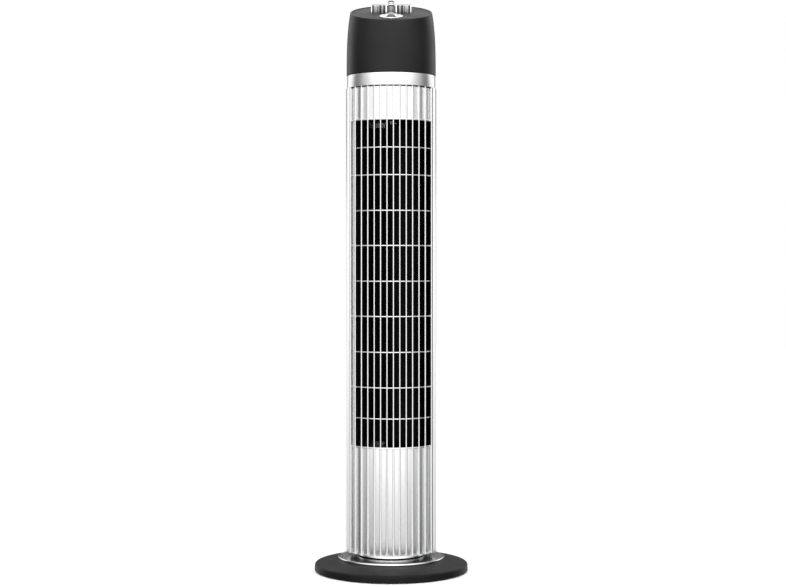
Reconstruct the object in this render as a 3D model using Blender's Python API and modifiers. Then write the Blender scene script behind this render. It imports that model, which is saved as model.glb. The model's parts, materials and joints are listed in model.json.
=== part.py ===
"""A tower fan on a round swivel base, built from its separate sub-parts.

Blender 4.5, metres, +Z up. The origin is on the floor, on the tower's turning axis, and the
air outlet faces -Y. Sizes below are millimetres; MM turns them into Blender's metres.
"""

import math

import bmesh
import bpy
from mathutils import Matrix, Vector

MM = 0.001
GAP = 0.3  # clearance between two pieces that touch

# Base
BASE_R = 100.4
BASE_TOP_Z = 16.8
FOOT_R = 5.0
FOOT_RING_R = 93.0
FOOT_COUNT = 4
TRIM_R = 69.6
NECK_R = 43.4
TUBE_R = 22.6
TUBE_TOP_Z = 40.0
PIVOT_SCREW_COUNT = 3
PIVOT_SCREW_RING_R = 30.0

# Tower body
BODY_R = 59.3
BODY_Z0 = 26.8
REAR_Z0 = 25.0  # the rear half reaches a little lower than the front
BODY_Z1 = 632.0
PLATE_Z0 = 27.4  # the chassis plate that closes the foot of the body
PLATE_Z1 = 30.4
PANEL_R = 57.4
FRONT_INNER_R = 55.0
REAR_INNER_R = 56.6
CHASSIS_R = 54.6
SEAM_Y = 12.0
WINDOW_Z0 = 166.0
WINDOW_Z1 = 588.5
FIN_PITCH = 8.227
FIN_LAST_X = 52.2
FIN_FIRST_X = -52.7  # its gap to the second fin is narrower, and blind
WALL_EDGE_X = 54.0  # where the smooth side wall meets the finned front
FIN_COUNT = 14
FIN_WIDTH = 1.7
FIN_DEPTH = 8.0
RIB_THICKNESS = 1.5
MAJOR_RIB_Z = (243.4, 334.9, 426.1, 516.9)
MINOR_RIB_Z = (203.5, 288.9, 380.2, 471.2, 552.4)
COLLAR_R = 58.0
COLLAR_Z1 = 648.7

# Rear housing
INTAKE_COLUMNS = 13
INTAKE_PITCH = 8.4  # degrees
INTAKE_ROW_Z = 172.0
INTAKE_ROWS = 4
INTAKE_ROW_PITCH = 102.0
INTAKE_SLOT_HEIGHT = 92.0
INTAKE_SLOT_WIDTH = 4.6
HANDLE_HALF_WIDTH = 42.0
HANDLE_Z0 = 601.0
HANDLE_Z1 = 625.0
REAR_SCREW_TURN = 30.0  # degrees each side of straight back
REAR_SCREW_Z = (33.5, 598.0)
REAR_SCREW_SEAT_R = 57.6
GROMMET_Z = 80.0

# Head
HEAD_R = 58.6
HEAD_Z0 = 649.2
HEAD_WALL = 2.6
HEAD_TAPER = 8.5e-6  # inward curve of the head's side, per mm cubed
PANEL_Z = 733.8  # height of the control panel's plane on the axis
PANEL_TILT = math.radians(17.7)
DIAL_R = 15.2
DIAL_Y = -34.0
KEY_HEIGHT = 8.7
KEY_BOTTOM = -6.0
KEY_DEPTH = 11.2
KEY_INNER = (5.7, 17.4)
KEY_OUTER = (18.0, 26.6)
KNOB_Y = 6.0

# Air mover
WHEEL_Y = 3.0
WHEEL_R = 38.0
WHEEL_Z0 = 172.5
WHEEL_Z1 = 579.1
WHEEL_DISC = 1.6
WHEEL_DISC_PITCH = 85.7
WHEEL_FIRST_INNER_DISC_Z = 241.0
BLADE_COUNT = 12
SHAFT_R = 4.0
MOTOR_PLATE_Z = 152.0
BULKHEAD_Z = 592.0

# Oscillation drive
CRANK_Y = 28.0
CRANK_THROW = 16.0

parts = bpy.data.collections.new("tower_fan")
cutters = bpy.data.collections.new("cutters")


def clear_scene():
    for obj in list(bpy.data.objects):
        bpy.data.objects.remove(obj, do_unlink=True)
    bpy.context.scene.collection.children.link(parts)
    bpy.context.scene.collection.children.link(cutters)


def material(name, colour, roughness, metallic=0.0):
    mat = bpy.data.materials.new(name)
    mat.use_nodes = True
    shader = mat.node_tree.nodes["Principled BSDF"]
    shader.inputs["Base Color"].default_value = (*colour, 1.0)
    shader.inputs["Roughness"].default_value = roughness
    shader.inputs["Metallic"].default_value = metallic
    return mat


def place(name, mesh, mat=None, location=(0, 0, 0), parent=None):
    """Put a mesh in the scene as a part, or as a cutter when it has no material."""
    obj = bpy.data.objects.new(name, mesh)
    obj.location = Vector(location) * MM
    obj.parent = parent
    if mat is None:
        cutters.objects.link(obj)
        obj.hide_render = True
        obj.display_type = "WIRE"
        return obj
    mesh.materials.append(mat)
    parts.objects.link(obj)
    return obj


def smooth(obj, angle=35):
    obj.data.shade_smooth()
    obj.data.set_sharp_from_angle(angle=math.radians(angle))


def turned(name, profile, segments, mat=None, location=(0, 0, 0), parent=None):
    """A profile of (radius, height), down its outer side and back up inside, turned about Z."""
    mesh = bpy.data.meshes.new(name)
    verts = [(r * MM, 0, z * MM) for r, z in profile]
    edges = [(i, i + 1) for i in range(len(profile) - 1)]
    on_axis = profile[0][0] == 0 and profile[-1][0] == 0
    if not on_axis:
        edges.append((len(profile) - 1, 0))
    mesh.from_pydata(verts, edges, [])
    obj = place(name, mesh, mat, location, parent)
    screw = obj.modifiers.new("turn", "SCREW")
    screw.axis = "Z"
    screw.steps = segments
    screw.render_steps = segments
    screw.use_merge_vertices = True
    screw.merge_threshold = 0.00001
    screw.use_smooth_shade = mat is not None
    return obj


def extruded(name, outlines, z0, z1, mat=None, location=(0, 0, 0), parent=None):
    """A flat outline, with any holes after it, given thickness from z0 to z1."""
    curve = bpy.data.curves.new(name, "CURVE")
    curve.dimensions = "2D"
    curve.fill_mode = "BOTH"
    curve.extrude = (z1 - z0) / 2 * MM
    for outline in outlines:
        spline = curve.splines.new("POLY")
        spline.points.add(len(outline) - 1)
        for point, (x, y) in zip(spline.points, outline):
            point.co = (x * MM, y * MM, 0, 1)
        spline.use_cyclic_u = True
    flat = bpy.data.objects.new(name + "_outline", curve)
    cutters.objects.link(flat)
    bpy.context.view_layer.update()
    mesh = bpy.data.meshes.new_from_object(flat.evaluated_get(bpy.context.evaluated_depsgraph_get()))
    bpy.data.objects.remove(flat)
    bm = bmesh.new()
    bm.from_mesh(mesh)
    bmesh.ops.remove_doubles(bm, verts=bm.verts, dist=0.00001)
    bmesh.ops.translate(bm, verts=bm.verts, vec=(0, 0, (z0 + z1) / 2 * MM))
    bmesh.ops.recalc_face_normals(bm, faces=bm.faces)
    bm.to_mesh(mesh)
    bm.free()
    mesh.materials.clear()
    return place(name, mesh, mat, location, parent)


def add_box(bm, low, high, turn=None):
    size = [(b - a) * MM for a, b in zip(low, high)]
    centre = Vector([(a + b) / 2 * MM for a, b in zip(low, high)])
    shape = Matrix.Translation(centre) @ Matrix.Diagonal((*size, 1))
    bmesh.ops.create_cube(bm, size=1, matrix=(turn or Matrix.Identity(4)) @ shape)


def add_rod(bm, radius, z0, z1, segments=16, at=(0, 0), turn=None):
    shape = Matrix.Translation(Vector((at[0], at[1], (z0 + z1) / 2)) * MM)
    bmesh.ops.create_cone(
        bm,
        cap_ends=True,
        segments=segments,
        radius1=radius * MM,
        radius2=radius * MM,
        depth=(z1 - z0) * MM,
        matrix=(turn or Matrix.Identity(4)) @ shape,
    )


def solids(name, build, mat=None, location=(0, 0, 0), parent=None):
    """A mesh filled by the function build(bm)."""
    bm = bmesh.new()
    build(bm)
    mesh = bpy.data.meshes.new(name)
    bm.to_mesh(mesh)
    bm.free()
    return place(name, mesh, mat, location, parent)


def box(name, low, high, mat=None, parent=None, location=(0, 0, 0)):
    return solids(name, lambda bm: add_box(bm, low, high), mat, location, parent)


def rod(name, radius, z0, z1, mat=None, segments=24, location=(0, 0, 0), parent=None):
    obj = solids(name, lambda bm: add_rod(bm, radius, z0, z1, segments), mat, location, parent)
    smooth(obj)
    return obj


def combine(obj, other, operation):
    mod = obj.modifiers.new(operation.lower(), "BOOLEAN")
    mod.object = other
    mod.operation = operation
    mod.solver = "EXACT"


def arc(radius, start, end, steps):
    """Points on a circle about the axis, from one angle to the other, in degrees."""
    angles = [math.radians(start + (end - start) * i / steps) for i in range(steps + 1)]
    return [(radius * math.cos(a), radius * math.sin(a)) for a in angles]


def along_y(z, turn=0.0):
    """The transform that lays a rod level at height z, pointing back, then turns it about Z."""
    level = Matrix.Translation(Vector((0, 0, z)) * MM) @ Matrix.Rotation(-math.pi / 2, 4, "X")
    return Matrix.Rotation(math.radians(turn), 4, "Z") @ level


def empty(name, location, tilt=0.0):
    obj = bpy.data.objects.new(name, None)
    obj.location = Vector(location) * MM
    obj.rotation_euler.x = tilt
    parts.objects.link(obj)
    return obj


clear_scene()
black_plastic = material("matte_black_plastic", (0.035, 0.035, 0.037), 0.55)
silver_paint = material("silver_painted_plastic", (0.62, 0.62, 0.63), 0.32, 0.35)
chrome = material("chrome", (0.82, 0.82, 0.84), 0.12, 1.0)
rubber = material("rubber", (0.02, 0.02, 0.02), 0.85)
grey_plastic = material("grey_plastic", (0.35, 0.35, 0.36), 0.5)
steel = material("steel", (0.55, 0.55, 0.56), 0.35, 1.0)
bronze = material("sintered_bronze", (0.45, 0.3, 0.14), 0.45, 1.0)
copper = material("enamelled_copper", (0.55, 0.22, 0.08), 0.35, 0.8)
acetal = material("white_acetal", (0.8, 0.8, 0.78), 0.45)


# ---- Base ----------------------------------------------------------------------------------


def make_base():
    base = turned(
        "base_plate",
        [
            (70.0, BASE_TOP_Z),
            (96.6, 11.0),
            (99.3, 9.9),
            (BASE_R, 8.0),
            (BASE_R, 1.9),
            (99.6, 1.0),
            (86.0, 1.0),
            (86.0, 9.6),
            (70.0, 13.6),
            (23.4, 13.6),
            (23.4, BASE_TOP_Z),
        ],
        40,
        black_plastic,
    )

    def pockets(bm):
        for i in range(FOOT_COUNT):
            turn = Matrix.Rotation(math.radians(45 + 360 * i / FOOT_COUNT), 4, "Z")
            add_rod(bm, FOOT_R + 0.5, -2, 3.0, 12, (FOOT_RING_R, 0), turn)
        for i in range(PIVOT_SCREW_COUNT):
            turn = Matrix.Rotation(math.radians(90 + 360 * i / PIVOT_SCREW_COUNT), 4, "Z")
            add_rod(bm, 1.9, 12.0, 15.9, 12, (PIVOT_SCREW_RING_R, 0), turn)

    combine(base, solids("base_pockets", pockets), "DIFFERENCE")

    turned(
        "base_trim_ring",
        [
            (NECK_R + 0.6, 20.6),
            (58.0, 19.9),
            (67.4, 19.1),
            (68.4, 19.6),
            (TRIM_R, 18.9),
            (TRIM_R, BASE_TOP_Z + GAP),
            (NECK_R + 0.6, BASE_TOP_Z + GAP),
        ],
        40,
        chrome,
    )
    for i in range(FOOT_COUNT):
        angle = math.radians(45 + 360 * i / FOOT_COUNT)
        spot = (FOOT_RING_R * math.cos(angle), FOOT_RING_R * math.sin(angle), 0)
        rod(f"rubber_foot_{i + 1}", FOOT_R, 0, 2.7, rubber, 12, spot)


def make_pivot():
    tube = turned(
        "pivot_tube",
        [(TUBE_R, TUBE_TOP_Z), (TUBE_R, 13.3), (36.0, 13.3), (36.0, 10.3), (18.6, 10.3), (18.6, TUBE_TOP_Z)],
        24,
        grey_plastic,
    )

    def holes(bm):
        for i in range(PIVOT_SCREW_COUNT):
            turn = Matrix.Rotation(math.radians(90 + 360 * i / PIVOT_SCREW_COUNT), 4, "Z")
            add_rod(bm, 1.9, 5.0, 20.0, 12, (PIVOT_SCREW_RING_R, 0), turn)

    combine(tube, solids("pivot_screw_holes", holes), "DIFFERENCE")
    for i in range(PIVOT_SCREW_COUNT):
        angle = math.radians(90 + 360 * i / PIVOT_SCREW_COUNT)
        spot = (PIVOT_SCREW_RING_R * math.cos(angle), PIVOT_SCREW_RING_R * math.sin(angle), 0)
        profile = [(0, 15.6), (1.5, 15.6), (1.5, 10.0), (3.4, 10.0), (3.4, 8.4), (2.4, 7.8), (0, 7.8)]
        turned(f"pivot_screw_{i + 1}", profile, 12, steel, spot)
    turned("thrust_washer", [(34.5, 19.1), (34.5, 17.1), (24.0, 17.1), (24.0, 19.1)], 24, acetal)
    turned("pivot_lock_ring", [(30.0, 35.8), (30.0, 32.3), (22.95, 32.3), (22.95, 35.8)], 24, grey_plastic)


def make_slot_arm():
    """The forked arm on the fixed tube, whose slot guides the crank pin."""
    half = 7.0
    reach = 50.0
    ring = 23.4
    lean = math.degrees(math.asin(half / ring))
    outline = arc(ring, 90 + lean, 450 - lean, 24)
    outline += [(half, reach - 3), (half - 3, reach), (3 - half, reach), (-half, reach - 3)]
    slot = [(-2.4, 21.8), (2.4, 21.8), (2.4, 46.4), (-2.4, 46.4)]
    extruded("oscillation_slot_arm", [outline, arc(19.0, 0, 345, 23), slot], 40.3, 42.3, steel)


# ---- Tower body -----------------------------------------------------------------------------


def make_bottom_plate():
    plate = turned(
        "bottom_plate",
        [
            (CHASSIS_R, PLATE_Z1),
            (CHASSIS_R, PLATE_Z0),
            (36.0, PLATE_Z0),
            (36.0, 19.4),
            (23.3, 19.4),
            (23.3, 32.0),
            (28.0, 32.0),
            (28.0, PLATE_Z1),
        ],
        32,
        black_plastic,
    )

    def posts(bm):
        for side in (-1, 1):
            add_rod(bm, 3.5, PLATE_Z0 + 1, 48.7, 12, (side * 40, 14))
            turn = Matrix.Rotation(math.radians(side * REAR_SCREW_TURN), 4, "Z")
            add_box(bm, (-5, 42, PLATE_Z0 + 1), (5, 55.6, 38.5), turn)

    combine(plate, solids("bottom_posts", posts), "UNION")
    combine(plate, rear_screw_holes("bottom_screw_holes", 1.9), "DIFFERENCE")
    neck_in = NECK_R - 3.0
    neck = [(NECK_R, 27.1), (NECK_R, 17.5), (neck_in, 17.5), (neck_in, 27.1)]
    turned("neck_ring", neck, 40, chrome)


def rear_screw_holes(name, radius, low=30.0, high=70.0):
    def holes(bm):
        for side in (-1, 1):
            for z in REAR_SCREW_Z:
                add_rod(bm, radius, low, high, 12, (0, 0), along_y(z, side * REAR_SCREW_TURN))

    return solids(name, holes)


def fin_x(i):
    if i == 0:
        return FIN_FIRST_X
    return FIN_LAST_X - (FIN_COUNT - 1 - i) * FIN_PITCH


def front_y(radius, x):
    return -math.sqrt(radius * radius - x * x)


def make_fins(bm):
    """Upright fins, parallel to Y, their fronts on the body's cylinder; deeper in the window."""
    for i in range(FIN_COUNT):
        x = fin_x(i)
        front = front_y(BODY_R, x)
        shallow = front_y(56.2, x)
        deep = max(front + FIN_DEPTH, shallow)
        low = BODY_Z0 + 0.4
        high = BODY_Z1 - 0.4
        side = [
            (front, low),
            (shallow, low),
            (shallow, WINDOW_Z0 - 2.5),
            (deep, WINDOW_Z0 - 2.5),
            (deep, WINDOW_Z1 + 2.5),
            (shallow, WINDOW_Z1 + 2.5),
            (shallow, high),
            (front, high),
        ]
        if deep - shallow < 0.5:
            side = [side[0], side[1], side[6], side[7]]
        left = [bm.verts.new(((x - FIN_WIDTH / 2) * MM, y * MM, z * MM)) for y, z in side]
        face = bm.faces.new(left)
        grown = bmesh.ops.extrude_face_region(bm, geom=[face])["geom"]
        moved = [v for v in grown if isinstance(v, bmesh.types.BMVert)]
        bmesh.ops.translate(bm, verts=moved, vec=(FIN_WIDTH * MM, 0, 0))
    bmesh.ops.recalc_face_normals(bm, faces=bm.faces)


def make_ribs(bm):
    """Level ribs that tie the fins; the major ones also cross the blind slot on the left."""
    levels = [(z, 58.3, 0) for z in MAJOR_RIB_Z]
    levels += [(z, 57.2, 1) for z in MINOR_RIB_Z]
    levels += [(WINDOW_Z0, 58.6, 0), (WINDOW_Z1, 58.6, 0)]
    for z, radius, first in levels:
        xs = [fin_x(i) for i in range(first, FIN_COUNT)]
        outline = [(x, front_y(radius, x)) for x in xs]
        outline += [(x, front_y(radius, x) + 4.5) for x in reversed(xs)]
        ring = [bm.verts.new((x * MM, y * MM, (z - RIB_THICKNESS / 2) * MM)) for x, y in outline]
        face = bm.faces.new(ring)
        grown = bmesh.ops.extrude_face_region(bm, geom=[face])["geom"]
        moved = [v for v in grown if isinstance(v, bmesh.types.BMVert)]
        bmesh.ops.translate(bm, verts=moved, vec=(0, 0, RIB_THICKNESS * MM))
    bmesh.ops.recalc_face_normals(bm, faces=bm.faces)


def make_front_housing():
    seam = math.degrees(math.asin(SEAM_Y / BODY_R))
    wall_end = -math.degrees(math.acos(WALL_EDGE_X / BODY_R))
    inner_seam = math.degrees(math.asin(SEAM_Y / FRONT_INNER_R))
    outline = arc(BODY_R, seam, wall_end, 5)
    outline += [(WALL_EDGE_X, front_y(PANEL_R, WALL_EDGE_X))]
    outline += [(fin_x(i), front_y(PANEL_R, fin_x(i))) for i in reversed(range(FIN_COUNT))]
    outline += [(-WALL_EDGE_X, front_y(PANEL_R, WALL_EDGE_X))]
    outline += arc(BODY_R, -180 - wall_end, -180 - seam, 5)
    outline += arc(FRONT_INNER_R, -180 - inner_seam, inner_seam, 18)
    front = extruded("front_housing", [outline], BODY_Z0, BODY_Z1, silver_paint)
    low_x = fin_x(1) - 0.5
    high_x = fin_x(FIN_COUNT - 1) - 0.5
    window = box("window", (low_x, -70, WINDOW_Z0 - 0.2), (high_x, -5, WINDOW_Z1 + 0.2))
    combine(front, window, "DIFFERENCE")
    combine(front, solids("fins", make_fins), "UNION")
    combine(front, solids("ribs", make_ribs), "UNION")


def make_rear_housing():
    seam = math.degrees(math.asin((SEAM_Y + GAP) / BODY_R))
    inner_seam = math.degrees(math.asin((SEAM_Y + GAP) / REAR_INNER_R))
    outline = arc(BODY_R, seam, 180 - seam, 26)
    outline += arc(REAR_INNER_R, 180 - inner_seam, inner_seam, 26)
    rear = extruded("rear_housing", [outline], REAR_Z0, BODY_Z1, silver_paint)

    def slots(bm):
        for column in range(INTAKE_COLUMNS):
            angle = 90 + (column - (INTAKE_COLUMNS - 1) / 2) * INTAKE_PITCH
            turn = Matrix.Rotation(math.radians(angle), 4, "Z")
            for row in range(INTAKE_ROWS):
                low = INTAKE_ROW_Z + row * INTAKE_ROW_PITCH
                half = INTAKE_SLOT_WIDTH / 2
                add_box(bm, (50, -half, low), (66, half, low + INTAKE_SLOT_HEIGHT), turn)

    combine(rear, solids("intake_slots", slots), "DIFFERENCE")
    opening = box("handle_opening", (-HANDLE_HALF_WIDTH, 30, HANDLE_Z0), (HANDLE_HALF_WIDTH, 70, HANDLE_Z1))
    combine(rear, opening, "DIFFERENCE")
    combine(rear, rear_screw_holes("rear_screw_holes", 1.9), "DIFFERENCE")
    combine(rear, rear_screw_holes("rear_screw_seats", 3.8, REAR_SCREW_SEAT_R, 70.0), "DIFFERENCE")
    hole = solids("grommet_hole", lambda bm: add_rod(bm, 5.5, 40, 70, 20, (0, 0), along_y(GROMMET_Z)))
    combine(rear, hole, "DIFFERENCE")


def make_handle_cup():
    edge = HANDLE_HALF_WIDTH - 0.4
    seat = rod("handle_cup", BODY_R - 0.2, HANDLE_Z0 + 0.4, HANDLE_Z1 - 0.4, black_plastic, 96)
    block = box("handle_block", (-edge, 33.5, HANDLE_Z0 - 5), (edge, 70, HANDLE_Z1 + 5))
    combine(seat, block, "INTERSECT")
    inner = edge - 2.4
    recess = box("handle_recess", (-inner, 36.0, HANDLE_Z0 + 2.6), (inner, 80, HANDLE_Z1 - 2.6))
    combine(seat, recess, "DIFFERENCE")


def make_rear_screws():
    """Pan-head screws through the rear housing into the chassis, each square to the wall."""
    under = REAR_SCREW_SEAT_R + GAP
    number = 0
    for z in REAR_SCREW_Z:
        for side in (-1, 1):
            number += 1
            profile = [(0, under + 1.4), (2.6, under + 1.2), (3.2, under + 0.7), (3.2, under)]
            profile += [(1.5, under), (1.5, 44.0), (0, 44.0)]
            screw = turned(f"rear_screw_{number}", profile, 12, steel, (0, 0, z))
            screw.rotation_euler = (-math.pi / 2, 0, math.radians(side * REAR_SCREW_TURN))


def make_grommet():
    profile = [(8.0, 61.0), (8.0, 59.6), (5.2, 59.6), (5.2, 54.0), (3.6, 54.0), (3.6, 62.0), (6.6, 62.0)]
    grommet = turned("cord_grommet", profile, 20, rubber, (0, 0, GROMMET_Z))
    grommet.rotation_euler.x = -math.pi / 2


def make_collar():
    low = BODY_Z1 + GAP
    inner = 55.6
    turned(
        "collar_band", [(COLLAR_R, COLLAR_Z1), (COLLAR_R, low), (inner, low), (inner, COLLAR_Z1)], 40, silver_paint
    )
    turned("head_mount_ring", [(CHASSIS_R, 668), (CHASSIS_R, 627), (52.0, 627), (52.0, 668)], 32, black_plastic)


# ---- Motor and air wheel --------------------------------------------------------------------


def make_motor():
    at = (0, WHEEL_Y, 0)
    plate_r = CHASSIS_R
    plate = turned(
        "motor_plate",
        [(plate_r, MOTOR_PLATE_Z + 3), (plate_r, MOTOR_PLATE_Z), (12.0, MOTOR_PLATE_Z), (12.0, MOTOR_PLATE_Z + 3)],
        32,
        grey_plastic,
    )
    combine(plate, rod("motor_plate_hole", 13.0, 140, 170, None, 24, at), "DIFFERENCE")
    bell_top = MOTOR_PLATE_Z - GAP
    turned(
        "motor_upper_bell",
        [
            (42.0, bell_top),
            (42.0, 133.6),
            (39.5, 133.6),
            (39.5, 149.2),
            (14.0, 149.2),
            (14.0, 141.0),
            (9.4, 141.0),
            (9.4, bell_top),
        ],
        24,
        steel,
        at,
    )
    turned(
        "motor_lower_bell",
        [
            (42.0, 103.5),
            (42.0, 82.5),
            (9.4, 82.5),
            (9.4, 93.0),
            (14.0, 93.0),
            (14.0, 85.0),
            (39.5, 85.0),
            (39.5, 103.5),
        ],
        24,
        steel,
        at,
    )
    ring("stator_core", 41.6, 21.0, 103.8, 133.3, 24, steel, at)
    ring("stator_coil_upper", 37.0, 24.0, 133.6, 145.0, 20, copper, at)
    ring("stator_coil_lower", 37.0, 24.0, 92.0, 103.5, 20, copper, at)
    ring("motor_upper_bush", 9.0, 4.4, 141.3, 151.5, 16, bronze, at)
    ring("motor_lower_bush", 9.0, 4.4, 82.7, 92.8, 16, bronze, at)
    ring("motor_rotor", 20.2, 4.4, 100.0, 137.0, 24, steel, at)
    rod("motor_shaft", SHAFT_R, 80.0, 181.0, steel, 16, at)


def ring(name, outer, inner, z0, z1, segments, mat, at=(0, 0, 0)):
    return turned(name, [(outer, z1), (outer, z0), (inner, z0), (inner, z1)], segments, mat, at)


def make_wheel():
    at = (0, WHEEL_Y, 0)
    boss_top = WHEEL_Z1 + 7
    wheel = turned(
        "air_wheel",
        [
            (WHEEL_R, WHEEL_Z0 + WHEEL_DISC),
            (WHEEL_R, WHEEL_Z0),
            (9.0, WHEEL_Z0),
            (9.0, 160.0),
            (4.4, 160.0),
            (4.4, WHEEL_Z0 + WHEEL_DISC),
        ],
        20,
        black_plastic,
        at,
    )
    top = turned(
        "wheel_top_disc",
        [
            (8.0, boss_top),
            (8.0, WHEEL_Z1),
            (WHEEL_R, WHEEL_Z1),
            (WHEEL_R, WHEEL_Z1 - WHEEL_DISC),
            (3.9, WHEEL_Z1 - WHEEL_DISC),
            (3.9, boss_top),
        ],
        20,
        None,
        at,
    )

    def blades(bm):
        """Forward-leaning blades, each one strip from the bottom disc to the top disc."""
        for i in range(BLADE_COUNT):
            turn = Matrix.Rotation(math.tau * i / BLADE_COUNT, 4, "Z")
            section = [(29.0, 0.0), (36.4, 5.6), (35.4, 6.6), (28.6, 1.3)]
            low = (WHEEL_Z0 + 0.5) * MM
            ring_verts = [bm.verts.new(turn @ Vector((x * MM, y * MM, low))) for x, y in section]
            face = bm.faces.new(ring_verts)
            grown = bmesh.ops.extrude_face_region(bm, geom=[face])["geom"]
            moved = [v for v in grown if isinstance(v, bmesh.types.BMVert)]
            bmesh.ops.translate(bm, verts=moved, vec=(0, 0, (WHEEL_Z1 - WHEEL_Z0 - 1.0) * MM))
        bmesh.ops.recalc_face_normals(bm, faces=bm.faces)

    combine(wheel, solids("wheel_blades", blades, None, at), "UNION")
    combine(wheel, top, "UNION")
    for k in range(4):
        z = WHEEL_FIRST_INNER_DISC_Z + k * WHEEL_DISC_PITCH
        inner = turned(
            f"wheel_disc_{k + 1}",
            [(WHEEL_R, z + 0.8), (WHEEL_R, z - 0.8), (27.0, z - 0.8), (27.0, z + 0.8)],
            20,
            None,
            at,
        )
        combine(wheel, inner, "UNION")
    rod("wheel_top_pin", 3.5, 572.0, 600.0, steel, 16, at)


def make_wheel_bearing():
    at = (0, WHEEL_Y, 0)
    plate = turned(
        "upper_bulkhead",
        [(CHASSIS_R, BULKHEAD_Z + 3), (CHASSIS_R, BULKHEAD_Z), (9.0, BULKHEAD_Z), (9.0, BULKHEAD_Z + 3)],
        32,
        grey_plastic,
    )

    def bosses(bm):
        for side in (-1, 1):
            turn = Matrix.Rotation(math.radians(side * REAR_SCREW_TURN), 4, "Z")
            add_box(bm, (-5, 42, BULKHEAD_Z + 1), (5, 55.6, REAR_SCREW_Z[1] + 2.8), turn)

    combine(plate, solids("bulkhead_bosses", bosses), "UNION")
    combine(plate, rod("bulkhead_hole", 14.4, 580, 610, None, 24, at), "DIFFERENCE")
    combine(plate, rear_screw_holes("bulkhead_screw_holes", 1.9), "DIFFERENCE")
    low = BULKHEAD_Z - 2
    high = BULKHEAD_Z + 6
    holder = [(16.5, high), (16.5, high - 2.7), (14.0, high - 2.7), (14.0, low), (8.1, low), (8.1, high)]
    turned("bearing_rubber", holder, 20, rubber, at)
    ring("wheel_top_bush", 7.7, 3.9, low + 0.5, high - 0.5, 16, bronze, at)


def make_air_duct():
    """A spiral wall behind the wheel and the tongue that parts outlet from intake."""
    steps = 14
    low = MOTOR_PLATE_Z + 3 + GAP
    high = BULKHEAD_Z - GAP
    outer = []
    inner = []
    for i in range(steps + 1):
        share = i / steps
        angle = math.radians(80 - 105 * share)
        reach = 41.0 + 13.0 * share
        outer.append(((reach + 1.5) * math.cos(angle), WHEEL_Y + (reach + 1.5) * math.sin(angle)))
        inner.append((reach * math.cos(angle), WHEEL_Y + reach * math.sin(angle)))
    extruded("duct_scroll", [inner + outer[::-1]], low, high, grey_plastic)
    tongue = [
        (-51.0, -14.0),
        (-49.6, -20.6),
        (-44.6, -28.0),
        (-42.6, -28.6),
        (-34.6, -21.6),
        (-35.2, -19.8),
        (-43.0, -25.6),
        (-49.4, -13.4),
    ]
    extruded("vortex_tongue", [tongue], low, high, grey_plastic)


# ---- Parts in the foot of the tower ---------------------------------------------------------


def make_foot_electrics():
    box("run_capacitor", (-19, -47, PLATE_Z1 + GAP), (19, -31.5, 54.0), grey_plastic)
    box("terminal_block", (-44, -28, PLATE_Z1 + GAP), (-30, -16, 42.0), acetal)
    motor = rod("oscillation_motor", 24.5, 47.5, 66.5, steel, 32, (0, 18, 0))
    ears = box("motor_ears", (-44, -9, 49.0), (44, 1, 50.5))
    ears.location.y = 18 * MM
    combine(motor, ears, "UNION")
    combine(motor, rod("motor_shaft_hole", 3.8, 40, 50.5, None, 16, (0, CRANK_Y, 0)), "DIFFERENCE")

    def crank(bm):
        add_rod(bm, 3.2, 44.5, 50.0, 16)
        add_rod(bm, 2.0, 42.6, 44.5, 12, (0, CRANK_THROW))

    half = 5.0
    outline = arc(half, 180, 360, 8)
    outline += [(x, y + CRANK_THROW) for x, y in arc(half, 0, 180, 8)]
    arm = extruded("oscillation_crank", [outline], 43.3, 46.3, steel, (0, CRANK_Y, 0))
    combine(arm, solids("crank_pins", crank, None, (0, CRANK_Y, 0)), "UNION")


# ---- Head and controls ----------------------------------------------------------------------


def head_radius(z):
    rise = max(0.0, z - 650.0)
    return HEAD_R - HEAD_TAPER * rise**3


def make_head(panel_frame):
    levels = [HEAD_Z0, 685.0, 704.0, 720.0, 734.0, 747.0, 760.0]
    outer = [(head_radius(z), z) for z in reversed(levels)]
    inner = [(head_radius(z) - HEAD_WALL, z) for z in levels]
    shell = turned("head_shell", outer + inner, 40, black_plastic)
    above = box("above_panel", (-90, -90, 0), (90, 90, 80), None, panel_frame)
    combine(shell, above, "DIFFERENCE")

    fill = [(head_radius(z) - HEAD_WALL - 0.4, z) for z in reversed(levels)]
    plug = turned("control_panel", [(0, 760.0)] + fill + [(0, HEAD_Z0)], 40, black_plastic)
    slab = box("panel_slab", (-90, -90, -3.5), (90, 90, -0.5), None, panel_frame)
    combine(plug, slab, "INTERSECT")

    def openings(bm):
        add_rod(bm, 4.4, -10, 10, 20, (0, DIAL_Y))
        add_rod(bm, 3.8, -10, 10, 20, (0, KNOB_Y))
        for side in (-1, 1):
            for span in (KEY_INNER, KEY_OUTER):
                xs = sorted((side * (span[0] - 0.25), side * (span[1] + 0.25)))
                add_box(bm, (xs[0], -0.4, -10), (xs[1], KEY_DEPTH + 0.4, 10))

    combine(plug, solids("panel_openings", openings, None, (0, 0, 0), panel_frame), "DIFFERENCE")


def make_keys(panel_frame):
    number = 0
    for side, span in ((-1, KEY_OUTER), (-1, KEY_INNER), (1, KEY_INNER), (1, KEY_OUTER)):
        xs = sorted((side * span[0], side * span[1]))
        width = xs[1] - xs[0]
        low = (-width / 2, 0, KEY_BOTTOM)
        high = (width / 2, KEY_DEPTH, KEY_HEIGHT)
        spot = ((xs[0] + xs[1]) / 2, 0, 0)
        key = box(f"speed_key_{number}", low, high, chrome, panel_frame, spot)
        bevel = key.modifiers.new("edges", "BEVEL")
        bevel.width = 0.9 * MM
        bevel.segments = 2
        number += 1
    block = box("key_switch", (-29, -5, -30), (29, 17, -10.4), grey_plastic, panel_frame)
    combine(block, box("switch_gap", (-7.6, -1.6, -40), (7.6, 13.6, 0), None, panel_frame), "DIFFERENCE")
    box("oscillation_switch", (-7, -1, -29.0), (7, 13, -15.0), black_plastic, panel_frame)


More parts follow.
